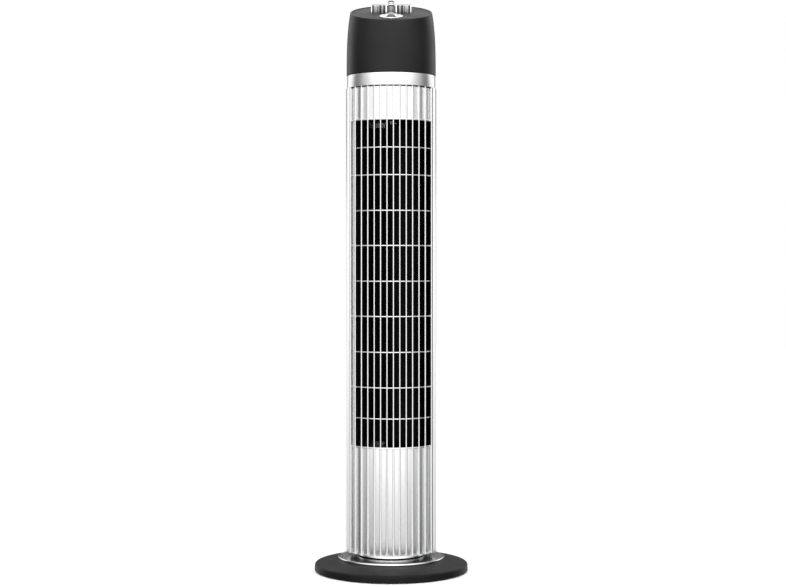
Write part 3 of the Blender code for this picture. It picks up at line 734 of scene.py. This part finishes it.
INTAKE_COLUMNS = 13
INTAKE_PITCH = 8.4
INTAKE_ROWS = 4
INTAKE_ROW_Z = 172.0
INTAKE_ROW_PITCH = 102.0
INTAKE_HEIGHT = 92.0
INTAKE_WIDTH = 4.6
REAR_SCREW_COUNT = 4
REAR_SCREW_TURN = 30.0
REAR_SCREW_START = 44.0


def back_facing(z, turn=0.0):
    """Lays +Z of a tool level, pointing out of the back at height z, turned about the axis."""
    level = Matrix.Translation((0, 0, z * MM)) @ Matrix.Rotation(-math.pi / 2, 4, "X")
    return Matrix.Rotation(math.radians(turn), 4, "Z") @ level


def rear_screw_place(node):
    low, high = span(node)
    side = 1 if low.x + high.x < 0 else -1
    return back_facing(middle_z(node), side * REAR_SCREW_TURN)


def cup_outline(shrink_x, shrink_z, radius, steps=8):
    """The carry handle's rounded outline, made smaller all round."""
    low, high = span("handle_cup")
    half_w = high.x - shrink_x
    half_h = (high.z - low.z) / 2 - shrink_z
    return rounded(rectangle(-half_w, -half_h, half_w, half_h), radius, steps=steps)


def slot_cutter(bm, angle, z):
    """A radial slot cutter that flares at the outer skin, so the slot's edge is eased."""
    depths = [(50.0, 0.0), (BODY_R - 0.7, 0.0), (BODY_R + 0.3, 0.9), (BODY_R + 4, 0.9)]
    rings = []
    turn = Matrix.Rotation(math.radians(angle), 4, "Z")
    for r, flare in depths:
        shape = stadium(INTAKE_WIDTH + flare, INTAKE_HEIGHT + flare)
        rings.append([bm.verts.new(turn @ Vector((r * MM, y * MM, (z + h) * MM))) for y, h in shape])
    skin_rings(bm, rings)


def all_slots(bm):
    for column in range(INTAKE_COLUMNS):
        angle = 90 + (column - (INTAKE_COLUMNS - 1) / 2) * INTAKE_PITCH
        for row in range(INTAKE_ROWS):
            slot_cutter(bm, angle, INTAKE_ROW_Z + row * INTAKE_ROW_PITCH + INTAKE_HEIGHT / 2)


def make_rear_housing():
    seam = math.degrees(math.asin((SEAM_Y + SEAM_GAP) / BODY_R))
    inner_seam = math.degrees(math.asin((SEAM_Y + SEAM_GAP) / REAR_INNER_R))
    outline = arc(BODY_R, seam, 180 - seam, 130)
    outline += arc(REAR_INNER_R, 180 - inner_seam, inner_seam, 104)
    shell = prism("rear_housing_moulding", outline, BODY_LOW.z, BODY_HIGH.z, SILVER)
    combine(shell, joined("slots", [all_slots]), "DIFFERENCE")
    mouth = cup_outline(-0.4, -0.4, 5.0, steps=6)
    place = back_facing(middle_z("handle_cup"))
    combine(shell, prism("handle_opening", mouth, 25, 70, None, place), "DIFFERENCE")
    drills = []
    for number in range(1, REAR_SCREW_COUNT + 1):
        place = rear_screw_place(f"rear_screw_{number}")
        drills.append(lambda bm, m=place: add_rod(bm, 1.9, 30, 57.9, segments=24, matrix=m))
        drills.append(lambda bm, m=place: add_rod(bm, 3.8, 57.6, 70, segments=48, matrix=m))
    place = back_facing(middle_z("cord_grommet"))
    drills.append(lambda bm: add_rod(bm, 5.5, 40, 70, segments=48, matrix=place))
    for drill in drills:
        combine(shell, joined("drill", [drill]), "DIFFERENCE")
    keep(tidy_shading(shell, 30), "tower", "silver", "rear_housing")


def make_rear_fittings():
    low, high = span("handle_cup")
    place = back_facing(middle_z("handle_cup"))
    cup = prism("carry_handle_cup", cup_outline(0, 0, 4.6), low.y, 70, BLACK, place)
    skin_r = BODY_R - 0.2
    skin = joined("skin", [lambda bm: add_rod(bm, skin_r, low.z - 20, high.z + 20, segments=320)])
    combine(cup, skin, "INTERSECT")
    hollow = prism("hollow", cup_outline(2.4, 2.2, 3.0), low.y + 2.5, 80, None, place, edge=1.2)
    combine(cup, hollow, "DIFFERENCE")
    keep(tidy_shading(cup), "tower", "base_black", "handle_cup")
    shift = Matrix.Translation((0, 0, REAR_SCREW_START * MM))
    for number in range(1, REAR_SCREW_COUNT + 1):
        node = f"rear_screw_{number}"
        length = BODY_R - REAR_SCREW_START
        screw = pan_screw(f"rear_pan_screw_{number}", length, rear_screw_place(node) @ shift, 1.4)
        keep(screw, "tower", "steel", node)
    profile = [(8.0, 61.0), (8.0, 59.6), (5.2, 59.6), (5.2, 54.0), (3.6, 54.0), (3.6, 62.0), (6.6, 62.0)]
    place = back_facing(middle_z("cord_grommet"))
    grommet = revolve("cord_inlet_grommet", profile, RUBBER, 72, radius=0.5, matrix=place)
    keep(grommet, "tower", "rubber", "cord_grommet")


# ---- Collar, neck and head ----


def make_collar_and_neck():
    low, high = span("collar_band")
    r = high.x
    band = rectangle(r - 2.4, low.z, r, high.z)
    keep(revolve("collar_ring", band, SILVER, 256, radius=0.5), "tower", "silver", "collar_band")
    low, high = span("neck_ring")
    r = high.x
    foot_z = 21.9
    neck = [(r, high.z), (r, foot_z), (r - 0.7, foot_z - 0.1), (r - 0.7, low.z), (r - 3.0, low.z)]
    neck = revolve("neck_sleeve", neck + [(r - 3.0, high.z)], CHROME, 256, radius=0.3)
    # Painted shadow: the recessed foot below foot_z takes the near-black material, as the dark line where
    # the neck meets the flange.
    neck.data.materials.append(DARK)
    for face in neck.data.polygons:
        face.material_index = int(face.center.z < (foot_z - 0.2) * MM)
    keep(neck, "tower", "chrome", "neck_ring")
    low, high = span("head_mount_ring")
    sleeve = rectangle(52.0, low.z, CHASSIS_R, high.z)
    keep(revolve("head_mount_sleeve", sleeve, DARK, 128), "tower", "black_inner", "head_mount_ring")


HEAD_LOW, HEAD_HIGH = span("head_shell")
HEAD_R = HEAD_HIGH.x
HEAD_TAPER = 8.5e-6
TAPER_START_Z = 650.0
HEAD_WALL = 2.6
TAN_TILT = math.tan(TILT)


def head_radius(z):
    """The head's side draws in faster and faster towards the top."""
    rise = max(0.0, z - TAPER_START_Z)
    return HEAD_R - HEAD_TAPER * rise**3


def rim_height(angle, inset=0.0):
    """Where the head's side, moved in by inset, meets the control panel's plane."""
    z = PANEL_Z
    for _ in range(30):
        z = PANEL_Z + TAN_TILT * (head_radius(z) - inset) * math.sin(angle)
    return z


def make_head_shell():
    """The tapered shell, cut by the sloping plane, its rim rounded all round."""
    segments = 256
    ease = 1.3
    bm = bmesh.new()
    columns = []
    for k in range(segments):
        angle = math.tau * k / segments
        z_out = rim_height(angle)
        z_in = rim_height(angle, HEAD_WALL)
        corner = Vector((head_radius(z_out), z_out))
        inner_corner = Vector((head_radius(z_in) - HEAD_WALL, z_in))
        across = (inner_corner - corner).normalized()
        start = Vector((head_radius(z_out - ease), z_out - ease))
        end = corner + across * ease
        foot_r = head_radius(HEAD_LOW.z)
        points = [(foot_r - 0.4, HEAD_LOW.z), (foot_r, HEAD_LOW.z + 0.4)]
        low_z = HEAD_LOW.z + 1.0
        steps = 26
        for i in range(steps):
            z = low_z + (start.y - low_z) * i / steps
            points.append((head_radius(z), z))
        for i in range(7):
            t = i / 6
            points.append(tuple(start * (1 - t) ** 2 + corner * (2 * t * (1 - t)) + end * t**2))
        points.append(tuple(inner_corner - across * 0.3))
        points.append((inner_corner.x, inner_corner.y - 0.3))
        for i in range(1, 11):
            z = inner_corner.y - 0.3 + (HEAD_LOW.z - inner_corner.y + 0.3) * i / 10
            points.append((head_radius(z) - HEAD_WALL, z))
        ring = []
        for r, z in points:
            ring.append(bm.verts.new((r * math.cos(angle) * MM, r * math.sin(angle) * MM, z * MM)))
        columns.append(ring)
    columns.append(columns[0])
    skin_rings(bm, columns, close_ends=False)
    shell = finish_mesh(bm, "head_shell_moulding", BLACK, 35)
    keep(shell, "tower", "base_black", "head_shell")


def panel_outline(inset, steps=192):
    """The panel's edge in its own plane."""
    points = []
    for k in range(steps):
        angle = math.tau * k / steps
        z = rim_height(angle, inset)
        r = head_radius(z) - inset
        points.append((r * math.cos(angle), r * math.sin(angle) / math.cos(TILT)))
    return points


def flat_plate(name, outlines, low, high, edge, mat, matrix):
    """A plate with holes: a filled 2D curve with thickness, its rims rounded by edge."""
    curve = bpy.data.curves.new(name, "CURVE")
    curve.dimensions = "2D"
    curve.fill_mode = "BOTH"
    curve.extrude = ((high - low) / 2 - edge) * MM
    curve.bevel_depth = edge * MM
    curve.bevel_resolution = 2
    curve.offset = -edge * MM
    for outline in outlines:
        spline = curve.splines.new("POLY")
        spline.points.add(len(outline) - 1)
        for point, (x, y) in zip(spline.points, outline):
            point.co = (x * MM, y * MM, 0, 1)
        spline.use_cyclic_u = True
    flat = bpy.data.objects.new(name + "_curve", curve)
    bpy.context.scene.collection.objects.link(flat)
    graph = bpy.context.evaluated_depsgraph_get()
    source = bpy.data.meshes.new_from_object(flat.evaluated_get(graph))
    bpy.data.objects.remove(flat)
    bm = bmesh.new()
    bm.from_mesh(source)
    bpy.data.meshes.remove(source)
    bmesh.ops.remove_doubles(bm, verts=bm.verts, dist=1e-6)
    lift = Matrix.Translation((0, 0, (low + high) / 2 * MM))
    return finish_mesh(bm, name, mat, 32, matrix @ lift)


def key_spans():
    spans = []
    for i in range(4):
        low, high = span(f"speed_key_{i}")
        spans.append((low.x, high.x))
    return spans


# Heights above the control panel's frame, and places up its slope.
PANEL_TOP = -0.5
PANEL_BOTTOM = -3.5
KEY_DEPTH = 11.2
KEY_TOP = 8.7
KEY_BOTTOM = -6.0
KNOB_Y = 6.0


def make_control_panel():
    holes = [arc(4.4, 0, 345, 23, (0, DIAL_Y)), arc(3.8, 0, 345, 23, (0, KNOB_Y))]
    for x0, x1 in key_spans():
        corners = rectangle(x0 - 0.25, -0.4, x1 + 0.25, KEY_DEPTH + 0.4)
        holes.append(rounded(corners, 0.6, steps=3))
    outlines = [panel_outline(HEAD_WALL + 0.35)] + [hole[::-1] for hole in holes]
    levels = (PANEL_BOTTOM, PANEL_TOP)
    plate = flat_plate("control_panel_plate", outlines, *levels, 0.25, PANEL_BLACK, PANEL_FRAME)
    keep(plate, "tower", "base_black", "control_panel")


def make_panel_marks():
    """Plain printed ticks round the dial and one dash in front of each key."""
    thick = 0.06
    low = PANEL_TOP + 0.005
    marks = []
    for k in range(11):
        angle = math.radians(-90 - 150 + 30 * k)
        inner = 17.0
        outer = 19.0 if k % 5 else 20.0
        wide = 0.45 if k % 5 else 0.7
        along = Matrix.Translation((0, DIAL_Y * MM, 0)) @ Matrix.Rotation(angle, 4, "Z")
        marks.append((inner, -wide, outer, wide, along))
    for x0, x1 in key_spans():
        middle = (x0 + x1) / 2
        marks.append((middle - 1.6, -3.4, middle + 1.6, -2.5, Matrix.Identity(4)))
    for number, (x0, y0, x1, y1, place) in enumerate(marks):
        outline = rounded(rectangle(x0, y0, x1, y1), 0.3, steps=3)
        mark = prism(f"panel_mark_{number + 1}", outline, low, low + thick, INK, PANEL_FRAME @ place)
        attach(mark, "tower")


# ---- Controls ----


# Distance from the middle of each key's bars: slim polished rails and broader satin bars.
RAILS = ((5.7, 7.6), (25.0, 26.6))
SATIN_BARS = ((10.3, 13.0), (15.5, 17.4), (18.0, 22.9))
RAIL_LEAN = 2.4


def key_bar(name, x0, x1, lean, mat):
    """An upright bar across a key; lean sets its top back, so that its face looks ahead."""
    lengthwise = Matrix(((0, 0, 1, 0), (1, 0, 0, 0), (0, 1, 0, 0), (0, 0, 0, 1)))
    back = KEY_DEPTH - 0.2
    low = KEY_BOTTOM + 0.2
    side = rounded([(0, low), (back, low), (back, KEY_TOP), (lean, KEY_TOP), (0, 0.5)], 0.7, least_turn=30)
    return prism(name, side, x0, x1, mat, PANEL_FRAME @ lengthwise, edge=0.55, edge_steps=4)


def make_keys():
    """Each key is a dark core with bright bars standing proud of it."""
    for i, (x0, x1) in enumerate(key_spans()):
        body = f"key_{i}"
        front = RAIL_LEAN + 0.3
        outline = rounded(rectangle(x0 + 0.2, front, x1 - 0.2, KEY_DEPTH), 0.5)
        name = f"speed_key_core_{i}"
        core = prism(name, outline, KEY_BOTTOM, KEY_TOP - 0.9, KEY_GREY, PANEL_FRAME, edge=0.4)
        keep(core, body, "black_inner", f"speed_key_{i}")
        side = 1 if x0 > 0 else -1
        for kind, bars in (("rail", RAILS), ("bar", SATIN_BARS)):
            for k, (near, far) in enumerate(bars):
                low, high = sorted((side * near, side * far))
                if low < x0 - 0.1 or high > x1 + 0.1:
                    continue
                polished = kind == "rail"
                mat = CHROME if polished else STEEL
                piece = key_bar(f"speed_key_{kind}_{i}_{k}", low, high, RAIL_LEAN if polished else 0.3, mat)
                keep(piece, body, "chrome")


def make_knob():
    """A stem, a chrome cap with a waist to pull it by, and the cap's darker crown."""
    cap_z = 7.6
    crown_z = 12.6
    profile = [(0, -8.0), (3.2, -8.0), (3.2, 7.4), (4.6, 8.3), (4.9, 9.4), (4.15, 10.4)]
    profile += [(4.6, 11.4), (4.3, 12.7), (2.9, 13.8), (0, 14.2)]
    knob = revolve("oscillation_push_knob", profile, SATIN_CHROME, 96, radius=0.6, sharp=50)
    knob.data.materials.append(CHROME)
    knob.data.materials.append(KEY_GREY)
    for face in knob.data.polygons:
        height = face.center.z / MM
        face.material_index = int(height > cap_z) + int(height > crown_z)
    knob.data.transform(PANEL_FRAME @ Matrix.Translation((0, KNOB_Y * MM, 0)))
    keep(knob, "knob", "chrome", "oscillation_knob")


def make_dial():
    r = 15.2
    profile = [(0, -9.0), (3.8, -9.0), (3.8, -0.2), (r, -0.2), (r, 0.6), (14.6, 1.2), (0, 1.2)]
    place = PANEL_FRAME @ Matrix.Translation((0, DIAL_Y * MM, 0))
    dial = revolve("timer_dial_disc", profile, BRIGHT_DISC, 160, radius=0.45)
    bm = bmesh.new()
    sections = []
    # place along the dial, height and inset of each section, from the tall front to the back
    cuts = [(-12.8, 6.8, 0.4), (-12.7, 6.8, 0.12), (-12.4, 6.8, 0), (11.4, 2.2, 0), (12.0, 2.2, 0.5)]
    for y, top, inset in cuts:
        foot_x = 8.2 if y < 0 else 5.0
        outline = rounded([(-foot_x, 0.5), (foot_x, 0.5), (2.4, top), (-2.4, top)], 0.5, steps=4)
        if inset:
            outline = inset_outline(outline, inset)
        sections.append([(x, y, z) for x, z in outline])
    loft(bm, sections)
    grip = finish_mesh(bm, "timer_dial_grip", CHROME)
    # Painted reflection: the grip's flat front face takes a darker metal, standing in for the dark
    # surroundings mirrored in its chrome.
    grip.data.materials.append(PAINTED_DARK_REFLECTION)
    for face in grip.data.polygons:
        face.material_index = int(face.normal.y < -0.95)
    grip.data.transform(place)
    dial.data.transform(place)
    keep(tidy_shading(dial), "dial", "chrome", "timer_dial")
    keep(grip, "dial", "chrome")


# ---- Air wheel and what holds it ----

WHEEL_R = radius_of("air_wheel")
WHEEL_BLADES = 36
WHEEL_RINGS = 4
WHEEL_RING_Z = 241.0
WHEEL_RING_PITCH = 85.7
MOTOR_CASE_R = 42.0


def make_air_wheel():
    low, high = span("air_wheel")
    z0 = low.z + 12.5
    z1 = high.z - 7.0
    disc = 1.6
    centre = (0, WHEEL_Y)
    bottom = [(WHEEL_R, z0 + disc), (WHEEL_R, z0), (9.0, z0), (9.0, low.z), (4.4, low.z), (4.4, z0 + disc)]
    top = [(8.0, high.z), (8.0, z1), (WHEEL_R, z1), (WHEEL_R, z1 - disc), (3.9, z1 - disc), (3.9, high.z)]
    wheel = revolve("air_wheel_lower_disc", bottom, DARK, 96, centre, 0.25)
    keep(wheel, "wheel", "black_inner", "air_wheel")
    keep(revolve("air_wheel_upper_disc", top, DARK, 96, centre, 0.25), "wheel", "black_inner")
    for k in range(WHEEL_RINGS):
        z = WHEEL_RING_Z + WHEEL_RING_PITCH * k
        profile = rectangle(27.0, z - 0.8, WHEEL_R, z + 0.8)
        ring = revolve(f"air_wheel_ring_{k + 1}", profile, DARK, 96, centre, 0.25)
        keep(ring, "wheel", "black_inner")

    def blades(bm):
        for i in range(WHEEL_BLADES):
            turn = Matrix.Rotation(math.tau * i / WHEEL_BLADES, 4, "Z")
            outer = arc(9.5, -95, 5, 10, (28.6, 9.0))
            inner = arc(8.6, 5, -95, 10, (28.6, 9.0))
            sections = []
            for z in (z0 + 0.4, z1 - 0.4):
                sections.append([turn @ Vector((x, y, z)) for x, y in outer + inner])
            loft(bm, [[p + Vector((0, WHEEL_Y, 0)) for p in section] for section in sections])

    keep(joined("air_wheel_blades", [blades], DARK), "wheel", "black_inner")


def plain_ring(name, node, outer, inner, mat, body, slot, centre=(0, 0), radius=0.4):
    """A ring between two radii that stands for a CAD node and has its height."""
    low, high = span(node)
    profile = rectangle(inner, low.z, outer, high.z)
    keep(revolve(name, profile, mat, 96, centre, radius), body, slot, node)


def make_drive():
    at = (0, WHEEL_Y)
    low, high = span("motor_upper_bell")
    r = MOTOR_CASE_R
    wall = 2.5
    bell = [(r, high.z), (r, low.z), (r - wall, low.z), (r - wall, high.z - wall), (14.0, high.z - wall)]
    bell += [(14.0, 141.0), (9.4, 141.0), (9.4, high.z)]
    keep(revolve("motor_upper_case", bell, STEEL, 96, at, 0.8), "tower", "steel", "motor_upper_bell")
    low, high = span("motor_lower_bell")
    bell = [(r, high.z), (r, low.z), (9.4, low.z), (9.4, 93.0), (14.0, 93.0), (14.0, low.z + wall)]
    bell += [(r - wall, low.z + wall), (r - wall, high.z)]
    keep(revolve("motor_lower_case", bell, STEEL, 96, at, 0.8), "tower", "steel", "motor_lower_bell")
    plain_ring("stator_laminations", "stator_core", 41.6, 21.0, STEEL, "tower", "steel", at, 0.3)
    for end in ("upper", "lower"):
        coil = f"stator_coil_{end}"
        bush = f"motor_{end}_bush"
        plain_ring(f"stator_winding_{end}", coil, 37.0, 24.0, COPPER, "tower", "copper", at, 3.0)
        plain_ring(f"motor_{end}_bearing", bush, 9.0, 4.4, BRONZE, "tower", "bronze", at)
    plain_ring("rotor_cage", "motor_rotor", 20.2, 4.4, STEEL, "wheel", "steel", at, 0.6)
    for name, node, r in (("motor_axle", "motor_shaft", 4.0), ("wheel_axle_pin", "wheel_top_pin", 3.5)):
        low, high = span(node)
        profile = [(0, low.z), (r - 0.4, low.z), (r, low.z + 0.4)]
        profile += [(r, high.z - 0.4), (r - 0.4, high.z), (0, high.z)]
        keep(revolve(name, profile, STEEL, 48, at, 0.2), "wheel", "steel", node)
    low, high = span("bearing_rubber")
    flange_z = high.z - 2.7
    holder = [(16.5, high.z), (16.5, flange_z), (14.0, flange_z), (14.0, low.z)]
    holder += [(8.1, low.z), (8.1, high.z)]
    keep(revolve("wheel_bearing_rubber", holder, RUBBER, 72, at), "tower", "rubber", "bearing_rubber")
    plain_ring("wheel_upper_bearing", "wheel_top_bush", 7.7, 3.9, BRONZE, "tower", "bronze", at)


# ---- CAD nodes that stay ----

KEPT_NODES = {
    "oscillation_slot_arm": STEEL,
    "bottom_plate": DARK,
    "motor_plate": DARK,
    "upper_bulkhead": DARK,
    "duct_scroll": DARK,
    "vortex_tongue": DARK,
    "run_capacitor": GREY,
    "terminal_block": WHITE,
    "oscillation_motor": STEEL,
    "oscillation_crank": STEEL,
    "key_switch": GREY,
    "oscillation_switch": DARK,
    "timer_mechanism": GREY,
}


def dress_kept_nodes():
    for node, mat in KEPT_NODES.items():
        obj = frame["nodes"][node]
        obj.data.materials.clear()
        obj.data.materials.append(mat)


# ---- Floor, light and world ----

FLOOR_R = 6.0


def make_floor():
    """A plain, nearly white floor. Reflections and bounced light come from the studio instead."""
    bm = bmesh.new()
    bmesh.ops.create_circle(bm, cap_ends=True, segments=96, radius=FLOOR_R)
    mesh = bpy.data.meshes.new("floor")
    bm.to_mesh(mesh)
    bm.free()
    mat = new_material("floor", (0.9, 0.9, 0.9), 0.8)[0]
    mesh.materials.append(mat)
    floor = bpy.data.objects.new("floor", mesh)
    bpy.context.scene.collection.objects.link(floor)
    floor.visible_glossy = False
    floor.visible_diffuse = False


def ramp_of(tree, value, stops, interpolation="EASE"):
    """A grey ramp over stops of (position, brightness)."""
    ramp = tree.nodes.new("ShaderNodeValToRGB")
    ramp.color_ramp.interpolation = interpolation
    elements = ramp.color_ramp.elements
    while len(elements) < len(stops):
        elements.new(0.5)
    for element, (position, level) in zip(elements, stops):
        element.position = position
        element.color = (level, level, level, 1)
    tree.links.new(value, ramp.inputs["Fac"])
    return ramp.outputs["Color"]


def math_node(tree, operation, *values):
    node = tree.nodes.new("ShaderNodeMath")
    node.operation = operation
    for socket, value in zip(node.inputs, values):
        if isinstance(value, (int, float)):
            socket.default_value = value
        else:
            tree.links.new(value, socket)
    return node.outputs["Value"]


# Brightness round the fan: 0 is straight behind it, 0.5 at its sides, 1 straight in front.
AROUND = [
    (0.0, 0.42),
    (0.11, 0.5),
    (0.19, 0.7),
    (0.31, 0.64),
    (0.345, 0.46),
    (0.375, 0.14),
    (0.415, 0.06),
    (0.47, 0.08),
    (0.51, 0.14),
    (0.54, 0.23),
    (0.6, 0.36),
    (0.66, 0.48),
    (0.72, 0.66),
    (0.81, 0.83),
    (1.0, 0.92),
]
# Brightness by height: 0 is straight down, 0.5 level, 1 straight up.
UPWARD = [
    (0.0, 0.15),
    (0.36, 0.5),
    (0.41, 0.66),
    (0.46, 0.77),
    (0.5, 0.77),
    (0.55, 0.79),
    (0.62, 0.9),
    (0.8, 1.0),
    (1.0, 0.8),
]
WORLD_GAIN = 2.5


def make_world():
    """Studio surroundings: a broad bright front, a dark gap at each side, a bright back."""
    world = bpy.data.worlds.new("studio")
    bpy.context.scene.world = world
    world.use_nodes = True
    tree = world.node_tree
    background = tree.nodes["Background"]
    place = tree.nodes.new("ShaderNodeTexCoord")
    split = tree.nodes.new("ShaderNodeSeparateXYZ")
    tree.links.new(place.outputs["Generated"], split.inputs["Vector"])
    y, z = split.outputs["Y"], split.outputs["Z"]
    squared = math_node(tree, "MULTIPLY", z, z)
    level = math_node(tree, "SQRT", math_node(tree, "SUBTRACT", 1.0001, squared))
    # 0 straight behind the fan, 0.5 at its sides, 1 straight in front of it
    turn = math_node(tree, "ARCCOSINE", math_node(tree, "DIVIDE", y, level))
    turn = math_node(tree, "DIVIDE", turn, math.pi)
    around = ramp_of(tree, turn, AROUND, "LINEAR")
    rise = math_node(tree, "MULTIPLY_ADD", z, 0.5, 0.5)
    upward = ramp_of(tree, rise, UPWARD, "LINEAR")
    # a dark card low behind the fan, which shades the foot's bright flange
    behind = ramp_of(tree, turn, [(0.0, 1.0), (0.12, 1.0), (0.17, 0.0)])
    low_down = ramp_of(tree, rise, [(0.5, 0.0), (0.53, 1.0), (0.64, 1.0), (0.7, 0.0)])
    card = math_node(tree, "MULTIPLY", math_node(tree, "MULTIPLY", behind, low_down), 0.88)
    light = math_node(tree, "MULTIPLY", math_node(tree, "MULTIPLY", around, upward), WORLD_GAIN)
    light = math_node(tree, "MULTIPLY", light, math_node(tree, "SUBTRACT", 1.0, card))
    seen = tree.nodes.new("ShaderNodeLightPath")
    strength = tree.nodes.new("ShaderNodeMix")
    tree.links.new(seen.outputs["Is Camera Ray"], strength.inputs["Factor"])
    tree.links.new(light, strength.inputs["A"])
    strength.inputs["B"].default_value = 1.0
    tree.links.new(strength.outputs["Result"], background.inputs["Strength"])
    background.inputs["Color"].default_value = (1, 1, 1, 1)


def make_sky_light():
    """Very soft light from above, even over the whole floor."""
    data = bpy.data.lights.new("sky_light", "SUN")
    data.angle = math.radians(120)
    data.energy = 1.2
    light = bpy.data.objects.new("sky_light", data)
    light.rotation_euler = (math.radians(12), 0, 0)
    bpy.context.scene.collection.objects.link(light)


make_base()
make_pivot()
make_front_housing()
make_rear_housing()
make_rear_fittings()
make_collar_and_neck()
make_head_shell()
make_control_panel()
make_panel_marks()
make_keys()
make_knob()
make_dial()
make_air_wheel()
make_drive()
dress_kept_nodes()
make_floor()
make_world()
make_sky_light()
bpy.context.scene.view_settings.view_transform = "Standard"
